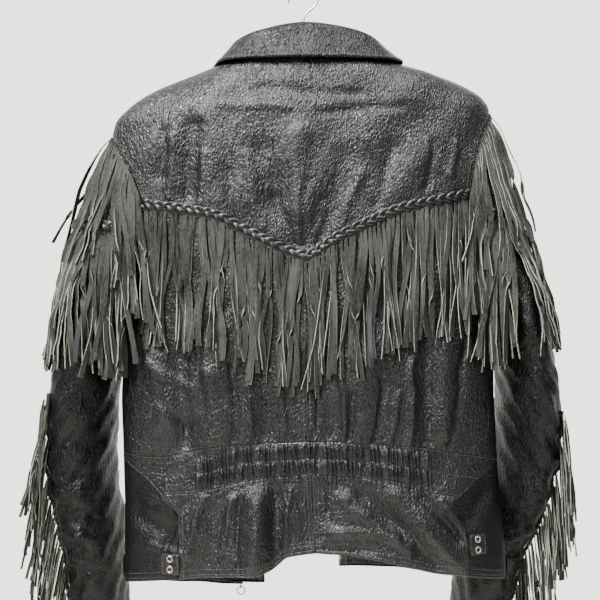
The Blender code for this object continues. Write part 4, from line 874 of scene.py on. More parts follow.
sleeveCreases = {
    "left": ringsOf(
        (0.22, 0.545, 0.1, 0.006, -2.6, 1.3), (0.28, 0.585, 0.11, 0.006, 2.6, 1),
        (0.19, 0.625, 0.09, 0.005, -2.8, -1.2), (0.3, 0.655, 0.12, 0.006, -3, 0.9),
        (0.24, 0.685, 0.1, 0.005, 2.6, -0.8), (0.21, 0.72, 0.12, 0.006, -3.2, 1.4),
        (0.29, 0.75, 0.1, 0.005, 2.4, 1.2), (0.25, 0.775, 0.12, 0.005, -2.6, -1),
        (0.2, 0.815, 0.1, 0.006, 2.4, 1.1), (0.27, 0.84, 0.12, 0.006, -2.6, 0.8),
        (0.23, 0.88, 0.1, 0.007, -2.2, -0.9), (0.26, 0.925, 0.12, 0.008, 1.8, 0.7),
        (0.36, 0.605, 0.06, 0.006, -2.6, 2), (0.38, 0.705, 0.06, 0.006, -2.6, -2),
        (0.11, 0.665, 0.06, 0.006, -2.4, 2), (0.1, 0.765, 0.06, 0.006, 2.2, -2),
        (0.74, 0.5, 0.12, 0.008, -2.6, 1), (0.78, 0.63, 0.12, 0.008, -2.8, -1),
        (0.72, 0.73, 0.12, 0.008, 2.4, 1), (0.76, 0.83, 0.12, 0.008, -2.4, 1),
    ),
    "right": ringsOf(
        (0.26, 0.535, 0.11, 0.006, -2.6, -1.2), (0.21, 0.57, 0.1, 0.006, 2.4, 1.2),
        (0.28, 0.61, 0.12, 0.006, -3, 1), (0.2, 0.64, 0.1, 0.005, -2.4, -1.1),
        (0.25, 0.672, 0.12, 0.006, 3, 0.9), (0.3, 0.7, 0.1, 0.005, -2.8, -1.2),
        (0.22, 0.735, 0.12, 0.006, -3, 1.2), (0.27, 0.765, 0.11, 0.005, 2.4, -0.9),
        (0.24, 0.8, 0.12, 0.006, -2.8, 1), (0.2, 0.845, 0.1, 0.007, 2.2, 1.2),
        (0.28, 0.87, 0.11, 0.006, -2.4, -0.8), (0.23, 0.92, 0.12, 0.008, -1.8, 0.8),
        (0.37, 0.59, 0.06, 0.006, -2.6, -2), (0.38, 0.72, 0.06, 0.006, 2.4, 2),
        (0.11, 0.62, 0.06, 0.006, -2.6, -2), (0.12, 0.78, 0.06, 0.006, -2.2, 2),
        (0.74, 0.51, 0.12, 0.008, 2.4, 1), (0.77, 0.62, 0.12, 0.008, -2.8, 1),
        (0.73, 0.74, 0.12, 0.008, -2.6, -1), (0.76, 0.84, 0.12, 0.008, 2.2, 1),
    ),
}
def tubePoint(side, along, around):
    rows = sleeveCut[side]
    height = mix(rows["height"][-1], rows["height"][0], along)
    x, y, across, deep, turn = (smooth(rows, c, height) for c in ("x", "y", "across", "along", "turn"))
    angle = 2 * math.pi * around
    outX, outY = sideSign[side] * np.cos(turn), np.sin(turn)
    backX, backY = sideSign[side] * np.sin(turn), -np.cos(turn)
    wide, long = across * np.cos(angle), deep * np.sin(angle)
    place = (x + outX * wide + backX * long, y + outY * wide + backY * long, height)
    return np.stack(np.broadcast_arrays(*place), axis=-1)


def armholePlace(side, around):
    # Places on the armhole, from the shoulder point down the back to the underarm and up the front.
    hole, half = armholes[side], sleeveForm["knots"] // 2
    heights = sideHeights(side)[::-1]
    heights = heights[(heights > hole["underarm"] - 1e-7) & (heights < hole["shoulder"] + 1e-7)]
    knot = (around % 1.0) * 2 * half
    height = np.interp(half - np.abs(knot - half), np.arange(half + 1), heights)
    return sideSign[side] * (quarter + np.where(knot <= half, -1, 1) * armholeCut(side, height)), height


def sleevePlain(side, around, rows):
    # Rows from 0 to 1 leave the armhole; from 1 to 2 they go down the tube.
    start = torso(*armholePlace(side, around))
    centre = torso(*armholePlace(side, np.arange(16) / 16)).mean(0)
    end, ahead = tubePoint(side, 0.0, around), tubePoint(side, 0.05, around)
    reach = np.linalg.norm(end - start, axis=-1, keepdims=True)
    lean = sleeveForm["leave"][side]
    leave = np.stack(np.broadcast_arrays(sideSign[side] * lean, start[..., 1] * 3.0, lean - 1.35), axis=-1)
    leave, arrive = unit(leave) * reach, unit(ahead - end) * reach
    t = np.clip(rows, 0.0, 1.0)[..., None]
    setting = (start * (2 * t**3 - 3 * t**2 + 1) + leave * (t**3 - 2 * t**2 + t)
               + end * (3 * t**2 - 2 * t**3) + arrive * (t**3 - t**2))
    tube = tubePoint(side, np.clip(rows - 1, 0.0, 1.0), around)
    return np.where(rows[..., None] < 1, setting, tube), centre


def sleeveSheet(side, first, last, columns):
    around, rows = np.meshgrid(
        mix(first, last, shares(columns, 0.20, rowsOf("seam"))),
        np.concatenate([shares(sleeveForm["settingRows"], 0.14)[:-4],
                        1 + shares(sleeveForm["tubeRows"], 0.39, rowsOf("hem"))[3:]]))
    points, centre = sleevePlain(side, around, rows)
    setting = 0.0875 * (np.interp(rows, (0.0, 0.10, 0.28, 0.52, 0.78, 1.0), np.arange(6)) - 5)
    along = 0.30 + np.where(rows < 1, setting, 0.70 * (rows - 1))
    rise = np.zeros(around.shape)
    wobble = 0.006 * np.sin(around * 19 + along * 31)
    columns = ("round", "along", "spread", "length", "depth", "bow")
    for folds in (sleeveFolds, sleeveCreases[side]):
        for turned, low, spread, length, depth, bow in zip(*(folds[column] for column in columns)):
            turn = (around - turned + 0.5) % 1.0 - 0.5
            off = (along + wobble * abs(bow) - low - bow * turn**2) / length
            rise += depth * np.exp(-((turn / spread) ** 2) - off**2)
    hide = (np.sin(around * 44 + along * 37) + np.sin(around * 31 - along * 62 + 2)
            + np.sin(around * 70 + along * 90 + 4))
    rise += sleeveForm["tremble"] * hide * step(0.0, 0.3, rows)
    low = rows[..., None] < 1
    tubeTop = tubePoint(side, 0.0, np.arange(8) / 8).mean(0)
    sheet = Sheet(points).outward(np.where(low, mix(centre, tubeTop, rows[..., None]), tubeMiddle(side, rows - 1)))
    shaped = Sheet(points + sheet.normals * rise[..., None]).facing(sheet.normals)
    shaped.around = around[0]
    return shaped


def tubeMiddle(side, along):
    rows = sleeveCut[side]
    height = mix(rows["height"][-1], rows["height"][0], np.clip(along, 0.0, 1.0))
    return np.stack([smooth(rows, "x", height), smooth(rows, "y", height), height], axis=-1)


for side in ("left", "right"):
    early, late = sleeveForm["seams"]
    for part, first, last, seam in (("back", early, late, "single"), ("front", late, early + 1.0, "plain")):
        sheet = sleeveSheet(side, first, last, sleeveForm["columns"])
        sew(sheet, top="cuff", left=seam, right=seam, foot="plain")
        leatherPiece(f"sleeve{part.title()}_{side}", sheet, f"sleeve_{part}_{side}", "sleeve")
    body["sleeve_" + side] = sleeveSheet(side, -0.5, 0.5, 144)
print("sleeves made")


# Collar, wind flap and zip

collarLine = tableOf(
    "station foldX foldY foldZ edgeX edgeY edgeZ",
    (-1.95, -70, 47.5, -133, -95, 69, -185), (-1.45, -79, 40, -108, -115, 65, -148),
    (-1.2, -82, 20, -92.5, -123, 39, -121), (-1, -83, -1, -84.5, -119, -2, -111),
    (-0.57, -64, -27, -73, -92, -45, -110), (0, 3, -37, -61, 3, -58, -109.5),
    (0.57, 72, -27, -71, 100, -46, -109.5), (1, 91, -1, -85, 133, -2, -107.5),
    (1.2, 90, 20, -92.5, 133, 41, -118), (1.45, 85, 42, -107, 122, 68, -147),
    (1.95, 74, 47.5, -130.5, 101, 71, -183),
    plain="station",
)
collarForm = {"columns": 215, "rows": 44, "roll": 0.0030, "lift": 0.0014}


def collarPlace(station, column):
    return np.stack([smooth(collarLine, column + axis, station) for axis in "XYZ"], axis=-1)


def neckSeam(station):
    back = torso(np.clip(station, -1, 1) * quarter, neckHeight)
    across = np.maximum(np.abs(station) - 1, 0.0)
    fronts = [torso(*frontPlaces(side, neckHeight, across)) for side in ("left", "right")]
    front = np.where((station < 0)[:, None], fronts[0], fronts[1])
    return np.where((np.abs(station) <= 1)[:, None], back, front)


def through(points, part):
    # A smooth curve through a row of points, for shares of the way along it.
    last = len(points) - 1
    place = part * last
    i = np.clip(place.astype(int), 0, last - 1)
    t = (place - i)[:, None, None]
    a, b, c, d = (points[np.clip(i + k, 0, last)] for k in (-1, 0, 1, 2))
    return 0.5 * (2 * b + (c - a) * t + (2 * a - 5 * b + 4 * c - d) * t**2 + (3 * b - a - 3 * c + d) * t**3)


def collarLeaf():
    up = np.array((0.0, 0.0, 1.0))
    station = mix(-1.95, 1.95, shares(collarForm["columns"], 0.42, rowsOf("border")))
    seam = neckSeam(station) + up * collarForm["lift"]
    fold, edge = collarPlace(station, "fold"), collarPlace(station, "edge")
    away = unit(fold * (1.0, 1.0, 0.0))
    standTop = mix(seam, fold, 0.80) - away * collarForm["roll"]
    leafTop = mix(fold, edge, 0.16) + away * 0.0040 + up * 0.0030
    profile = [seam, mix(seam, standTop, 0.5), standTop, fold, *(mix(leafTop, edge, k / 3) for k in range(4))]
    points = through(np.array(profile), shares(collarForm["rows"], 0.09, rowsOf("border")))
    wave = 0.0008 * np.sin(station * 9.0 + 1) + 0.0006 * np.sin(station * 21.0)
    lower = np.linspace(0, 1, len(points))[:, None] ** 2
    sheet = Sheet(points + away[None] * (wave[None] * lower)[..., None]).facing(away + up * 0.6, -3)
    sew(sheet, top="border", left="border", right="border", foot="plain")
    leatherPiece("foldOverCollar", sheet, "collar", "sleeve", held="folded")


collarLeaf()

openingForm = {
    "flapEdge": -0.0520, "inset": 0.0026, "tape": 0.0100, "tapeWall": 0.0009,
    "behind": 0.0003,        # the tape, against the front
    "toothPitch": 0.0026, "tooth": (0.0042, 0.0013, 0.0024), "toothSunk": 0.0007, "toothless": 0.006,
}


def lengthOf(points):
    return np.concatenate([[0.0], np.cumsum(np.linalg.norm(np.diff(points, axis=0), axis=1))])


def readAt(spots, length, grid):
    # Rows of a list of vectors at places along a length.
    return np.stack([np.interp(spots, length, grid[:, k]) for k in range(3)], axis=-1)


def windFlap():
    # It lies behind the left front's edge and reaches past it, free and a little wavy.
    front = body["front_left"]
    rows = np.arange(4, front.points.shape[0] - 4)
    points, normals = front.at(np.linspace(0.91, 1.0, 6) * (front.points.shape[1] - 1), rows[:, None])
    tucked = points - normals * openingForm["inset"]
    last = tucked[:, -1]
    share = shares(20, 0.04, rowsOf("border"))[1:, None]
    reach = np.zeros((len(last), 3))
    reach[:, 0], reach[:, 1] = openingForm["flapEdge"] - last[:, 0], -0.0040
    free = last[:, None] + reach[:, None] * share
    wave = 0.0012 * np.sin(last[:, 2] * 46 + 1) + 0.0008 * np.sin(last[:, 2] * 97)
    free[..., 1] += wave[:, None] * share[:, 0] ** 2
    sheet = Sheet(np.concatenate([tucked, free], axis=1)).facing((0.0, 1.0, 0.0))
    sew(sheet, right="border", foot="turned", top="plain")
    leatherPiece("windFlap", sheet, "wind_flap")


def zipSide(side):
    # The tape beside a front's edge, and its row of teeth.
    front = body["front_" + side]
    edge, normal = front.points[:, -1], front.normals[:, -1]
    run = np.array((-sideSign[side] * openingForm["tape"], 0.0, 0.0))
    sheet = Sheet(edge[:, None] + run * np.linspace(0.01, 1.06, 9)[None, :, None]
                  - normal[:, None] * openingForm["behind"]).facing(normal[:, None])
    leatherPiece("zipTape_" + side, sheet, "zip_tape_" + side, "tape", openingForm["tapeWall"])
    length = lengthOf(edge)
    ends = openingForm["toothless"]
    spots = np.arange(ends, length[-1] - ends, openingForm["toothPitch"])
    centre, out = readAt(spots, length, edge) + run, unit(readAt(spots, length, normal))
    way = unit(np.gradient(centre, axis=0))
    across = unit(np.cross(way, out))
    wide, tall, deep = (size / 2 for size in openingForm["tooth"])
    centre = centre - out * openingForm["toothSunk"]
    rings = []
    for shift, share in ((-1.0, 0.8), (-0.4, 1.0), (0.5, 1.0), (1.0, 0.55)):
        middle = centre - across * shift * wide * sideSign[side]
        rings.append(np.stack([middle + way * a * tall * share + out * b * deep * share
                               for a, b in ((-1, -1), (1, -1), (1, 1), (-1, 1))], axis=1))
    teeth = joinedMesh("zipTeeth_" + side, np.stack(rings, axis=1), [finishes["nickel"]])
    settle(teeth, [], "zipTape_" + side)


windFlap()
for side in ("left", "right"):
    zipSide(side)
print("collar and opening made")

# Plaits and fringe

plaitForm = {
    "period": 0.040, "swing": 0.0042, "cross": 0.0011, "strand": (0.0064, 0.0026), "ringsPerPeriod": 22,
    "seat": 0.0029, "tuck": 0.006, "sink": 0.0009,      # its ends are tucked in
}


def resampled(points, normals, pitch):
    # A line of points taken at equal steps of its length.
    length = lengthOf(points)
    at = np.linspace(0, length[-1], max(2, int(round(length[-1] / pitch)) + 1))
    return readAt(at, length, points), unit(readAt(at, length, normals)), at


def softened(line, rounds):
    # Rounds a line's corners, its ends kept.
    for _ in range(rounds):
        line = np.concatenate([line[:1], (line[:-2] + 2 * line[1:-1] + line[2:]) / 4, line[-1:]])
    return line


def plait(name, points, normals, node, partner):
    # Three flat strands that swing across each other along a line.
    form = plaitForm
    points, normals, at = resampled(softened(points, 4), normals, form["period"] / form["ringsPerPeriod"])
    normals = unit(softened(normals, 6))
    across = unit(np.cross(normals, unit(np.gradient(points, axis=0))))
    wide, thick = (size / 2 for size in form["strand"])
    angles = 2 * math.pi * np.arange(10) / 10
    ends = step(0.0, form["tuck"], at) * step(0.0, form["tuck"], at[-1] - at)
    strands = []
    for k in range(3):
        phase = 2 * math.pi * (at / form["period"] + k / 3) + 0.25 * np.sin(at * 70 + k)
        lift = form["seat"] - form["sink"] * (1 - ends) + form["cross"] * np.sin(2 * phase)
        middle = points + across * (form["swing"] * np.sin(phase))[:, None] + normals * lift[:, None]
        run = unit(np.gradient(middle, axis=0))
        side = unit(np.cross(normals, run))
        up = np.cross(run, side)
        swell = (1 + 0.10 * np.sin(phase * 2 + 1))[:, None, None]
        strands.append(middle[:, None] + swell * (side[:, None] * (wide * np.cos(angles))[None, :, None]
                                                  + up[:, None] * (thick * np.sin(angles))[None, :, None]))
    obj = joinedMesh(name, np.array(strands), [finishes["plait"]], sharp=1.2)
    settle(obj, [node], partner)


yokeLine, yokeNormals = (grid[3:-3] for grid in body["yoke"].lineFrom("foot", 0.0008))
plait("yokePlait", yokeLine, yokeNormals, "braid_back", "yokeLeather")

armBraid = {"reach": 4.6 / 16, "low": 0.0180, "drop": 0.110, "ends": 4.5 / 16}


def armBraidLine(around, below=0.0):
    # How far down the sleeve its V runs: low over the shoulder's middle and high at the armhole.
    away = np.clip(np.abs(around) / armBraid["reach"], 0.0, 1.0)
    return armBraid["low"] + armBraid["drop"] * (1 - away) ** 0.85 + below


def sleeveAt(sheet, around, distance):
    # Points and normals at shares of the way round a sleeve and distances down it from the armhole.
    column = np.interp(around, sheet.around, np.arange(len(sheet.around)))
    return sheet.at(column, sheet.down(column, distance[:, None])[:, 0])


for side in ("left", "right"):
    around = np.linspace(-armBraid["ends"], armBraid["ends"], 120)
    points, normals = sleeveAt(body["sleeve_" + side], around, armBraidLine(around))
    plait("armPlait_" + side, points, normals, "braid_arm_" + side, "sleeveBack_" + side)
print("plaits made")

fringeForm = {
    "wall": 0.0012, "rings": 22,
    "back": {"count": 52, "layers": 2, "length": 0.180, "width": (0.0044, 0.0072),
             "below": 0.0066, "bunch": 0.0055, "bunchWidth": 0.043},
    "arm": {"count": 31, "layers": 3, "length": 0.185, "width": (0.0046, 0.0074),
            "clump": 0.003, "clumps": 20, "lean": 0.10, "flung": 0.0, "reach": (-0.250, 0.250),
            "lifts": ((0.0, 0.10, 0.4, 1.0), (0.0014, 0.0026, 0.0050, 0.0060))},
    "cap": {"count": 16, "layers": 2, "length": 0.165, "width": (0.0044, 0.0070),
            "clump": 0.006, "clumps": 14, "lean": 0.5, "flung": 0.05, "reach": (-0.0625, 0.245),
            "lifts": ((0.0, 0.06, 0.45, 1.0), (0.0014, 0.0040, 0.0080, 0.0090))},
    "cuff": {"count": 36, "layers": 2, "length": 0.125, "width": (0.0040, 0.0054),
             "lean": {"left": 0.22, "right": 0.12}, "aboveCuff": (0.345, 0.012)},
    "turned": 0.32,          # share of strands whose grain side shows along a part
    "astray": 0.20,          # share that drift to one side
    "strayed": (0.008, 0.022),
    "drift": 0.0066,         # metres, as a normal spread
    "wave": (0.0010, 0.0044),
    "twist": 0.75,           # radians, as a normal spread
}


def strandMesh(name, middle, across, outward, width, twist, node, partner):
    # Flat strands: middle lines with the way across and outward at each ring, twisted about their length.
    side = unit(across)
    out = unit(outward - side * (outward * side).sum(-1, keepdims=True))
    cos, sin = np.cos(twist)[..., None], np.sin(twist)[..., None]
    wide = (side * cos + out * sin) * width[..., None] / 2
    thick = (out * cos - side * sin) * fringeForm["wall"] / 2
    corners = ((-1, 1), (1, 1), (1, -1), (-1, -1))
    rings = np.stack([middle + a * wide + b * thick for a, b in corners], axis=2)
    looks = [finishes["flesh"], finishes["cutEdge"], finishes["strandBack"]]
    settle(joinedMesh(name, rings, looks, sides=(0, 1, 2, 1)), [node], partner)


def fringeStrip(name, corners, node, partner):
    # The band that strands are cut from, given as its four long edges.
    strip = joinedMesh(name, np.stack(corners, axis=1)[None], [finishes["flesh"]])
    settle(strip, [node], partner)


def strandShape(count, kind, layer):
    # Numbers of each strand: its width, its length, how it twists, drifts and waves on the way down.
    form = fringeForm[kind]

    def drawn(low, high):
        return rng.uniform(low, high, (count, 1))

    part = np.linspace(0, 1, fringeForm["rings"])[None, :] ** 1.05
    length = form["length"] * drawn(0.90, 1.05)
    width = drawn(*form["width"]) * (0.52 + 0.48 * step(0.0, 0.16, part))
    width = width * (1 + 0.08 * np.sin(part * drawn(6, 14) + drawn(0, 6)))
    wave = drawn(*fringeForm["wave"]) * np.sin(part * drawn(3, 9) + drawn(0, 6.3)) * part**0.5
    drift = rng.normal(0.0, fringeForm["drift"], (count, 1)) * part**1.3
    astray = (rng.random((count, 1)) < fringeForm["astray"]) * rng.choice([-1, 1], (count, 1))
    drift = drift + astray * drawn(*fringeForm["strayed"]) * part**1.8
    twist = rng.normal(0.0, fringeForm["twist"], (count, 1)) * step(0.05, 1.0, part)
    twist = twist + drawn(0.1, 0.5) * np.sin(part * drawn(4, 10) + drawn(0, 6)) * step(0.0, 0.3, part)
    over = (rng.random((count, 1)) < fringeForm["turned"]) * rng.choice([-1, 1], (count, 1))
    start = drawn(0.10, 0.65)
    twist = twist + over * math.pi * step(start, start + 0.16, part)
    lift = 0.0018 * layer + drawn(0.0, 0.0012) + np.abs(astray) * 0.0012
    billow = drawn(0.0, 0.0024) * np.sin(part * drawn(4, 8) + drawn(0, 6))
    return part, length, width, drift + wave, twist, lift + np.abs(billow) * part


def backSurface(x, z):
    return torso(turnAt(np.clip(x, -0.232, 0.240), z), z)


def backFringe():
    # Two layers of strands hang straight down from the yoke's plait, pushed out where the back's folds stand up.
    form = fringeForm["back"]
    root, _, at = resampled(yokeLine, yokeNormals, 0.001)
    for layer in range(form["layers"]):
        count = form["count"]
        spots = np.linspace(0.006, at[-1] - 0.006, count) + rng.uniform(-0.0012, 0.0012, count) + 0.0024 * (layer - 1)
        spots = spots + form["bunch"] / 2 * np.sin(spots * 2 * math.pi / (0.6 * form["bunchWidth"]) + 2.0 * layer)
        spots = np.clip(spots, 0.004, at[-1] - 0.004)
        x0, _, z0 = (column[:, None] for column in readAt(spots, at, root).T)
        part, length, width, sideways, twist, lift = strandShape(count, "back", layer)
        z = z0 - form["below"] - (length - form["below"]) * part
        bunched = form["bunch"] * np.sin(x0 * 2 * math.pi / form["bunchWidth"] + 0.7 * layer)
        x = x0 + sideways + bunched * step(0.0, 0.5, part)
        outer = backSurface(x, z)[..., 1] - 0.0016 - lift * step(0.0, 0.12, part)
        y = outer.copy()
        fall = np.diff(z, axis=1)
        for k in range(1, y.shape[1]):
            y[:, k] = np.minimum(outer[:, k], y[:, k - 1] - 0.13 * fall[:, k - 1])
        middle = np.stack([x, y, z], axis=-1)
        slope = (backSurface(x + 0.004, z) - backSurface(x - 0.004, z)) * (1.0, 0.6, 0.0)
        strandMesh(f"backStrands_{layer + 1}", middle, slope, np.broadcast_to((0.0, -1.0, 0.0), middle.shape),
                   width, twist, "fringe_back", "lowerBack_left")
    low = resampled(root, root, 0.004)[0] - (0.0, 0.0, 0.0046)
    corners = []
    for drop, off in ((0.0, 0.0019), (0.0040, 0.0019), (0.0040, 0.0006), (0.0, 0.0006)):
        z = low[:, 2] - drop
        corners.append(np.stack([low[:, 0], backSurface(low[:, 0], z)[:, 1] - off, z], axis=-1))
    fringeStrip("backFringeStrip", corners, "fringe_back", "lowerBack_left")


backFringe()


def treeOf(*sheets):
    # The surfaces that strands rest against, for nearest-point searches.
    points, faces = [], []
    for sheet in sheets:
        rows, columns = sheet.points.shape[:2]
        index = np.arange(rows * columns).reshape(rows, columns) + sum(len(p) for p in points)
        quads = np.stack([index[:-1, :-1], index[:-1, 1:], index[1:, 1:], index[1:, :-1]], axis=-1).reshape(-1, 4)
        corner = sheet.points[:-1, :-1]
        facing = np.cross(sheet.points[:-1, 1:] - corner, sheet.points[1:, :-1] - corner)
        if (facing * sheet.normals[:-1, :-1]).sum() < 0:
            quads = quads[:, ::-1]
        points.append(sheet.points.reshape(-1, 3))
        faces += quads.tolist()
    return BVHTree.FromPolygons(np.concatenate(points).tolist(), faces)


def draped(tree, roots, normals, length, headings, lifts, sideways):
    # Strands fall from their roots in short steps, each step kept off the surface under it.
    rings = lifts.shape[1]
    middle, outward = np.zeros((len(roots), rings, 3)), np.zeros((len(roots), rings, 3))
    for k, (root, normal, heading) in enumerate(zip(roots, normals, headings)):
        spot, out = Vector(root) + Vector(normal) * float(lifts[k, 0]), Vector(normal)
        stride = float(length[k, 0]) / (rings - 1)
        way = Vector(heading).normalized()
        for ring in range(rings):
            if ring:
                across = way.cross(out).normalized()
                aim = spot + way * stride + across * float(sideways[k, ring] - sideways[k, ring - 1])
                near, facing, _, _ = tree.find_nearest(aim)
                stand = (aim - near).dot(facing)
                if stand < lifts[k, ring] and (aim - near).length < 0.05:
                    aim = aim + facing * (float(lifts[k, ring]) - stand)
                spot = spot + (aim - spot).normalized() * stride
                out = (out * 0.6 + facing * 0.4).normalized()
            middle[k, ring], outward[k, ring] = spot, out
    return middle, outward


def sleeveFringe(side, kind, root):
    # Strands that hang from a line round a sleeve, standing off it by the lifts at shares of their length.
    sheet, form = body["sleeve_" + side], fringeForm[kind]
    first, last = form["reach"]
    node, partner, count = f"fringe_{kind}_{side}", "sleeveBack_" + side, form["count"]
    for layer in range(form["layers"]):
        around = np.linspace(first, last, count) + rng.uniform(-0.004, 0.004, count)
        around = around + (layer - 1) * 0.3 * (last - first) / count
        around = np.clip(around + form["clump"] * np.sin(around * 2 * math.pi * form["clumps"] + layer), first, last)
        part, length, width, sideways, twist, lift = strandShape(count, kind, layer)
        points, normals = sleeveAt(sheet, around, root(around))
        stand = np.interp(part, *form["lifts"]) + lift * step(0.0, 0.12, part)
        lean = rng.normal(0.0, 0.07, count) + form["lean"] * step(0.10, -0.06, around) * rng.random(count) ** 2
        flung = rng.random(count) < form["flung"]
        lean = lean + flung * rng.uniform(0.3, 0.8, count)
        headings = np.stack([sideSign[side] * lean, rng.normal(0.0, 0.05, count), -np.ones(count)], axis=-1)
        middle, outward = draped(trees[side], points, normals, length, headings, stand, sideways)
        across = np.cross(outward, np.gradient(middle, axis=1))
        strandMesh(f"{kind}Strands_{side}_{layer + 1}", middle, across, outward, width, twist, node, partner)
    around = np.linspace(first, last, 90)
    above, below = (sleeveAt(sheet, around, root(around) + down) for down in (-0.0042, 0.0010))
    corners = [points + normals * off
               for (points, normals), off in ((above, 0.0020), (below, 0.0020), (below, 0.0005), (above, 0.0005))]
    fringeStrip(f"{kind}FringeStrip_{side}", corners, node, partner)


def cuffFringe(side):
    # Strands from the outer sleeve seam, hanging nearly straight with a lean outward.
    form, sheet = fringeForm["cuff"], body["sleeve_" + side]
    node, partner, count, sign = f"fringe_cuff_{side}", "sleeveBack_" + side, form["count"], sideSign[side]
    seam = np.full(400, sleeveForm["seams"][0])
    total = sheet.far("foot")[-1, int(np.interp(seam[0], sheet.around, np.arange(len(sheet.around))))]
    top, foot = form["aboveCuff"]
    line, normals = sleeveAt(sheet, seam, np.linspace(total - top, total - foot, len(seam)))
    out = np.array((sign * 0.80, -0.60, 0.0))
    for layer in range(form["layers"]):
        spots = np.linspace(2, 396, count) + rng.uniform(-3, 3, count) + layer * 5
        root = readAt(np.clip(spots, 0, 399), np.arange(len(line)), line)[:, None]
        part, length, width, sideways, twist, lift = strandShape(count, "cuff", layer)
        lie = rng.uniform(0.75, 1.25, (count, 1)) * form["lean"][side]
        reach = 0.0030 + 0.0022 * layer + lie * length * part * (1 - 0.25 * part) + lift
        drift = np.stack([sideways * 0.9 * -out[1], sideways * 0.9 * out[0] * sign, -length * part * 0.98], axis=-1)
        middle = root + out * reach[..., None] + drift
        across = np.broadcast_to(np.array((-out[1] * sign, out[0] * sign, 0.0)), middle.shape)
        turned = twist + rng.uniform(-0.9, 0.9, (count, 1))
        strandMesh(f"cuffStrands_{side}_{layer + 1}", middle, across, np.broadcast_to(out, middle.shape),
                   width, turned, node, partner)
    edges = ((0.0004, 0.0008), (0.0052, 0.0008), (0.0052, -0.0008), (0.0004, -0.0008))
    corners = [(line + normals * off + (0.0, thick, 0.0))[::4] for off, thick in edges]
    fringeStrip("cuffFringeStrip_" + side, corners, node, partner)


trees = {side: treeOf(*(body[part + side] for part in ("sleeve_", "lower_", "gusset_"))) for side in sideSign}
for side in ("left", "right"):
    sleeveFringe(side, "arm", lambda around: armBraidLine(around, 0.0090))
    sleeveFringe(side, "cap", lambda around: np.full(np.shape(around), 0.0062))
    cuffFringe(side)
print("fringe made")


# Lacing tabs, eyelets, zip pull and hanger

tabForm = {
    "size": (0.0250, 0.0270), "wall": 0.0019, "corner": 0.0035, "rim": 0.0005, "stitchInset": 0.0020,
    "eyelet": 0.0047, "hole": 0.0023, "roll": 0.0009, "segments": 32,      # the eyelet's radii and height
    "sunk": 0.0010,                                                        # the tab's foot, in the leather under it
}


def finish(name, bm, nodes, look, rider="jacket", partner=None):
    # Ends a piece that was shaped with operators: normals outwards, smooth but for its sharp edges.
    bmesh.ops.recalc_face_normals(bm, faces=bm.faces)
    for face in bm.faces:
        face.smooth = True
    mesh = bpy.data.meshes.new(name)
    bm.to_mesh(mesh)
    bm.free()
    mesh.set_sharp_from_angle(angle=0.7)
    settle(meshObject(name, mesh, [finishes[look]], rider), nodes, partner)


def lathe(bm, profile, steps):
    # Turns a closed profile of radii and heights round Z, and gives the new vertices back.
    before = set(bm.verts)
    section = [bm.verts.new((radius, 0, height)) for radius, height in profile]
    edges = [bm.edges.new(pair) for pair in zip(section, section[1:] + section[:1])]
    bmesh.ops.spin(bm, geom=section + edges, cent=(0, 0, 0), axis=(0, 0, 1), angle=2 * math.pi, steps=steps,
                   use_merge=True)
    return [vert for vert in bm.verts if vert not in before]


def roundSection(radius, wide, tall, corners=12):
    angles = [2 * math.pi * k / corners for k in range(corners)]
    return [(radius + wide * math.cos(angle), tall * math.sin(angle)) for angle in angles]


def block(bm, size):
    verts = bmesh.ops.create_cube(bm, size=1.0)["verts"]
    bmesh.ops.scale(bm, vec=size, verts=verts)
    return verts


def rounded(bm, edges, offset, segments):
    bmesh.ops.bevel(bm, geom=edges, offset=offset, segments=segments, profile=0.5, affect="EDGES", material=-1)


def boxOf(node):
    low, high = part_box(node)
    return Vector(low), Vector(high)


def surfaceFrame(sheet, spot):
    # A matrix on the nearest point of a sheet, its Z outward and its Y up.
    gap = np.linalg.norm(sheet.points - np.array(spot), axis=-1)
    j, i = np.unravel_index(np.argmin(gap), gap.shape)
    window = sheet.normals[max(0, j - 6):j + 7, max(0, i - 6):i + 7].reshape(-1, 3).mean(0)
    out = Vector(window).normalized()
    across = Vector((0.0, 0.0, 1.0)).cross(out).normalized()
    return Matrix((across, out.cross(across), out)).transposed().to_4x4()


def hemTab(name, side):
    # A leather tab with rounded corners, stitched round, its two eyelets pressed through.
    partner, wall, (wide, tall) = "sideGusset_" + side, tabForm["wall"], tabForm["size"]
    spots = [sum(boxOf(f"{name}_eyelet_{number}"), Vector((0.0, 0.0, 0.0))) / 2 for number in (1, 2)]
    middle = (spots[0] + spots[1]) / 2
    place = surfaceFrame(body["gusset_" + side], middle)
    place.translation = middle - place.to_3x3() @ Vector((0.0, 0.0, tabForm["sunk"]))
    bm = bmesh.new()
    block(bm, (wide, tall, wall))
    corners = [e for e in bm.edges if abs(e.verts[0].co.z - e.verts[1].co.z) > 0.001]
    rounded(bm, corners, tabForm["corner"], 6)
    rims = [e for e in bm.edges if abs(e.verts[0].co.z - e.verts[1].co.z) < 0.0001 and len(e.link_faces) == 2
            and e.calc_face_angle(0) > 0.5]
    rounded(bm, rims, tabForm["rim"], 3)
    bmesh.ops.transform(bm, matrix=place @ Matrix.Translation((0, 0, wall / 2 - 0.0002)), verts=bm.verts)
    finish(name.replace("tab_", "lacingTab_"), bm, [name], "leather", partner=partner)
    corners = ((-1, -1), (1, -1), (1, 1), (-1, 1), (-1, -1))
    reachX, reachY = (size / 2 - tabForm["stitchInset"] for size in tabForm["size"])
    outline = [place @ Vector((x * reachX, y * reachY, wall - 0.0002)) for x, y in corners]
    facing = np.array(place.to_3x3() @ Vector((0, 0, 1)))
    stitchLines.append((np.array(outline), np.tile(facing, (len(corners), 1))))
    for number, spot in enumerate(spots, 1):
        eyelet(f"{name}_eyelet_{number}", spot, place, partner)


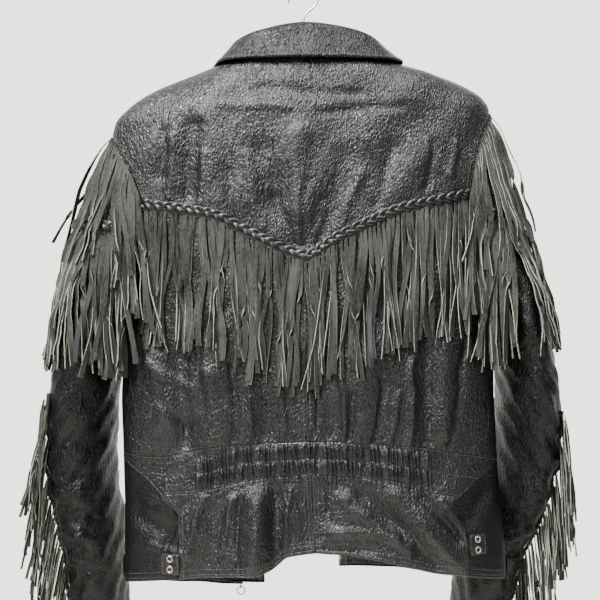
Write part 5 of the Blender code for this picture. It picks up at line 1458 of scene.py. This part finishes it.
def eyelet(node, spot, place, partner):
    # A rolled nickel ring with its barrel, turned from a half section, and a dark disc in its hole, painted shade
    # where the leather beneath is seen.
    barrel, rim, steps = tabForm["hole"], tabForm["eyelet"], 9
    top = tabForm["wall"] - 0.0001
    profile = [(barrel, 0.0002), (barrel + 0.0004, 0.0002)]
    for k in range(steps + 1):
        angle = math.pi * k / steps
        radius = (rim + barrel) / 2 + (rim - barrel) / 2 * math.cos(angle)
        profile.append((radius, top + tabForm["roll"] * math.sin(angle)))
    bm = bmesh.new()
    lathe(bm, profile, tabForm["segments"])
    bmesh.ops.remove_doubles(bm, verts=bm.verts, dist=0.00001)
    shift = place.to_3x3().transposed() @ (spot - place.translation)
    turned = place @ Matrix.Translation((shift.x, shift.y, 0.0))
    bmesh.ops.transform(bm, matrix=turned, verts=bm.verts)
    finish(node.replace("tab_", "lacingRing_"), bm, [node], "nickel", partner=partner)
    # A dark disc in the hole: painted shade.
    bm = bmesh.new()
    bmesh.ops.create_circle(bm, cap_ends=True, segments=24, radius=barrel + 0.0001,
                            matrix=turned @ Matrix.Translation((0, 0, 0.0016)))
    bmesh.ops.solidify(bm, geom=bm.faces[:], thickness=0.0003)
    finish(node.replace("tab_", "holeShadow_"), bm, [], "inside", partner=partner)


for side in ("left", "right"):
    for end in ("back", "front"):
        hemTab(f"tab_{end}_{side}", side)


pullForm = {
    "bodyLength": 0.0108, "bodyEdge": 0.0010, "stem": (0.0019, 0.0022, 0.0094),
    "lug": (0.00195, 0.00065, 0.0009),     # its ring's radius, and half its wire across and along
    "ringRadius": 0.0053, "ringWire": 0.0007,
    "slack": 0.00045,                      # how far the ring hangs below the lug's middle
}


def zipPull():
    # The slider's body, its bridge and lug, and the ring that hangs in the lug.
    low, high = boxOf("zip_slider")
    ringLow, ringHigh = boxOf("zip_pull_ring")
    centre, wire = (ringLow + ringHigh) / 2, pullForm["ringWire"]
    lugZ = ringHigh.z - wire + pullForm["slack"]
    bm = bmesh.new()
    block(bm, (high.x - low.x - 0.0004, (high.y - low.y) * 0.62, pullForm["bodyLength"]))
    rounded(bm, bm.edges[:], pullForm["bodyEdge"], 3)
    bodyAt = ((low.x + high.x) / 2, low.y + (high.y - low.y) * 0.33, high.z - pullForm["bodyLength"] / 2 - 0.0002)
    bmesh.ops.translate(bm, vec=bodyAt, verts=bm.verts)
    stem = block(bm, pullForm["stem"])
    bmesh.ops.translate(bm, vec=(centre.x, centre.y, lugZ + 0.0062), verts=stem)
    lug = lathe(bm, roundSection(*pullForm["lug"]), 32)
    lugAt = Matrix.Translation((centre.x, centre.y, lugZ)) @ Matrix.Rotation(quarter, 4, "Y")
    bmesh.ops.transform(bm, matrix=lugAt, verts=lug)
    finish("zipSlider", bm, ["zip_slider"], "nickel", partner="zipTape_left")
    bm = bmesh.new()
    lathe(bm, roundSection(pullForm["ringRadius"], wire, wire), 64)
    bmesh.ops.transform(bm, matrix=Matrix.Translation(centre) @ Matrix.Rotation(quarter, 4, "X"), verts=bm.verts)
    finish("zipPullRing", bm, ["zip_pull_ring"], "darkNickel", rider="pull")


zipPull()

hangerForm = {
    "wire": 0.0015, "bend": 0.0205, "middle": -0.0190, "segments": 20,
    "stemTop": -0.0500, "neck": ((0.0008, -0.0470), (0.0030, -0.0425), (0.0064, -0.0388)),
    "bore": 0.0018, "neckHeight": 0.0060,      # the hub's
}


def hangerHook():
    # Drawn wire bent round to a hook; its stem goes down into the hub.
    form = hangerForm
    low, _ = boxOf("hanger_hub")
    path = [(0.0, z) for z in np.linspace(low.z + 0.0008, form["stemTop"], 8)] + list(form["neck"])
    path += [(form["bend"] * math.cos(a), form["middle"] + form["bend"] * math.sin(a))
             for a in np.radians(np.arange(-46, 211, 6))]
    path = softened(np.array(path), 2)
    way = unit(np.gradient(path, axis=0))
    flat = np.zeros(len(path))
    points = np.stack([path[:, 0], flat, path[:, 1]], axis=-1)
    across = np.stack([way[:, 1], flat, -way[:, 0]], axis=-1)
    size = np.full(len(path), form["wire"])
    size[-1] = form["wire"] * 0.55
    rings = [points + size[:, None] * (across * math.cos(a) + np.array((0.0, 1.0, 0.0)) * math.sin(a))
             for a in 2 * math.pi * np.arange(form["segments"]) / form["segments"]]
    hook = joinedMesh("wireHook", np.stack(rings, axis=1)[None], [finishes["steel"]], sharp=1.0)
    settle(hook, ["hanger_hook"])


def hangerHub():
    low, high = boxOf("hanger_hub")
    bore, waist = hangerForm["bore"], high.z - hangerForm["neckHeight"]
    profile = [
        (bore, low.z), (0.0056, low.z), (0.0060, low.z + 0.0004), (0.0056, waist - 0.0006), (0.0052, waist),
        (0.0036, waist + 0.0014), (0.0030, waist + 0.0024), (0.0029, high.z - 0.0003), (0.0026, high.z),
        (bore, high.z),
    ]
    bm = bmesh.new()
    lathe(bm, profile, 48)
    finish("hangerHub", bm, ["hanger_hub"], "plastic")


hangerHook()
hangerHub()
for slot in bpy.data.objects["hanger_arms"].material_slots:
    slot.material = finishes["plastic"]
print("tabs, zip pull and hanger made")

# Stitches, in meshes of up to 4000 each

stitchForm = {"length": 0.0027, "pitch": 0.0035, "radius": 0.00034, "out": 0.00006, "perMesh": 4000}


def stitchRings():
    middles, ways, outs = [], [], []
    for line in stitchLines:
        points, normals, _ = resampled(*line, stitchForm["pitch"])
        middles.append((points[1:] + points[:-1]) / 2)
        ways.append(unit(points[1:] - points[:-1]))
        outs.append(unit(normals[1:] + normals[:-1]))
    middle, way, out = (np.concatenate(kind) for kind in (middles, ways, outs))
    side = unit(np.cross(way, out))
    rings = []
    for shift, size, lift in ((-0.5, 0.5, -0.0002), (0.0, 1.05, 0.00004), (0.5, 0.5, -0.0002)):
        centre = middle + way * shift * stitchForm["length"] + out * (stitchForm["out"] + lift)
        rings.append(np.stack([centre + (side * math.cos(a) + out * math.sin(a)) * stitchForm["radius"] * size
                               for a in (math.pi / 4 + k * quarter for k in range(4))], axis=1))
    return np.stack(rings, axis=1)


allStitches = stitchRings()
for number, share in enumerate(np.array_split(allStitches, len(allStitches) // stitchForm["perMesh"] + 1), 1):
    thread = joinedMesh(f"stitches_{number}", share, [finishes["thread"]], sharp=2.0)
    settle(thread, [], "yokeLeather")
print("stitches made:", len(allStitches))


# Stage

photoView = {
    "place": (-0.004, -1.67, -0.4216), "angle": 2 * math.atan(0.381 / 1.6),
    "wall": "#efede8", "floor": "#dad7cf", "floorHalf": 1.15, "floorHeight": -1.10,
    "glow": 3.3, "room": 0.5,       # the wall behind is lit, and the room before it is dimmer
}
# Each light's place, width and power.
lights = {
    "keyLight": ((-0.95, -1.20, 1.30), 0.95, 360.0),
    "fillLight": ((1.35, -1.2, 0.95), 0.7, 30.0),
    "sideLight": ((-1.10, -1.75, 0.05), 0.5, 44.0),
    "topLight": ((0.35, -0.55, 1.25), 0.6, 60.0),
    "frontLight": ((0.3, 1.9, 0.4), 1.2, 16.0),
}


def softLight(name, place, size, power, target=(0.0, 0.0, -0.45)):
    light = bpy.data.lights.new(name, "AREA")
    light.shape, light.size, light.energy = "DISK", size, power
    obj = bpy.data.objects.new(name, light)
    obj.location = place
    obj.rotation_euler = (Vector(target) - Vector(place)).to_track_quat("-Z", "Y").to_euler()
    bpy.context.scene.collection.objects.link(obj)


def stage():
    bm = bmesh.new()
    bmesh.ops.create_grid(bm, x_segments=1, y_segments=1, size=photoView["floorHalf"])
    bmesh.ops.translate(bm, vec=(0, 0, photoView["floorHeight"]), verts=bm.verts)
    mesh = bpy.data.meshes.new("paleFloor")
    bm.to_mesh(mesh)
    bm.free()
    floor = bpy.data.objects.new("paleFloor", mesh)
    bpy.context.scene.collection.objects.link(floor)
    material, shader = newFinish("mattFloorPaint", Roughness=0.9)
    shade = noise(material, mapped(material), 3.0, 2.0)
    plug(material, mixColours(material, shade, photoView["floor"], "#dfdcd5"), shader, "Base Color")
    mesh.materials.append(material)
    world = bpy.data.worlds.new("studio")
    world.use_nodes = True
    backdrop = world.node_tree.nodes["Background"]
    backdrop.inputs["Color"].default_value = linearOf(photoView["wall"])
    way = addNode(world, "ShaderNodeTexCoord").outputs["Generated"]
    depth = addNode(world, "ShaderNodeSeparateXYZ", {"Vector": way}).outputs["Y"]
    glow = ranged(world, depth, 0.1, 0.75, photoView["room"], photoView["glow"], interpolation_type="SMOOTHSTEP")
    world.node_tree.links.new(glow, backdrop.inputs["Strength"])
    bpy.context.scene.world = world
    for name, (place, size, power) in lights.items():
        softLight(name, place, size, power)
    camera = bpy.data.cameras.new("photoCamera")
    camera.angle = photoView["angle"]
    obj = bpy.data.objects.new("photoCamera", camera)
    obj.location = photoView["place"]
    obj.rotation_euler = (quarter, 0.0, 0.0)
    bpy.context.scene.collection.objects.link(obj)
    bpy.context.scene.camera = obj


stage()

for name, (obj, (width, length, area), held) in cutSizes.items():
    print(f"cut {name}: {width:.3f} x {length:.3f} m, {area:.4f} m2")
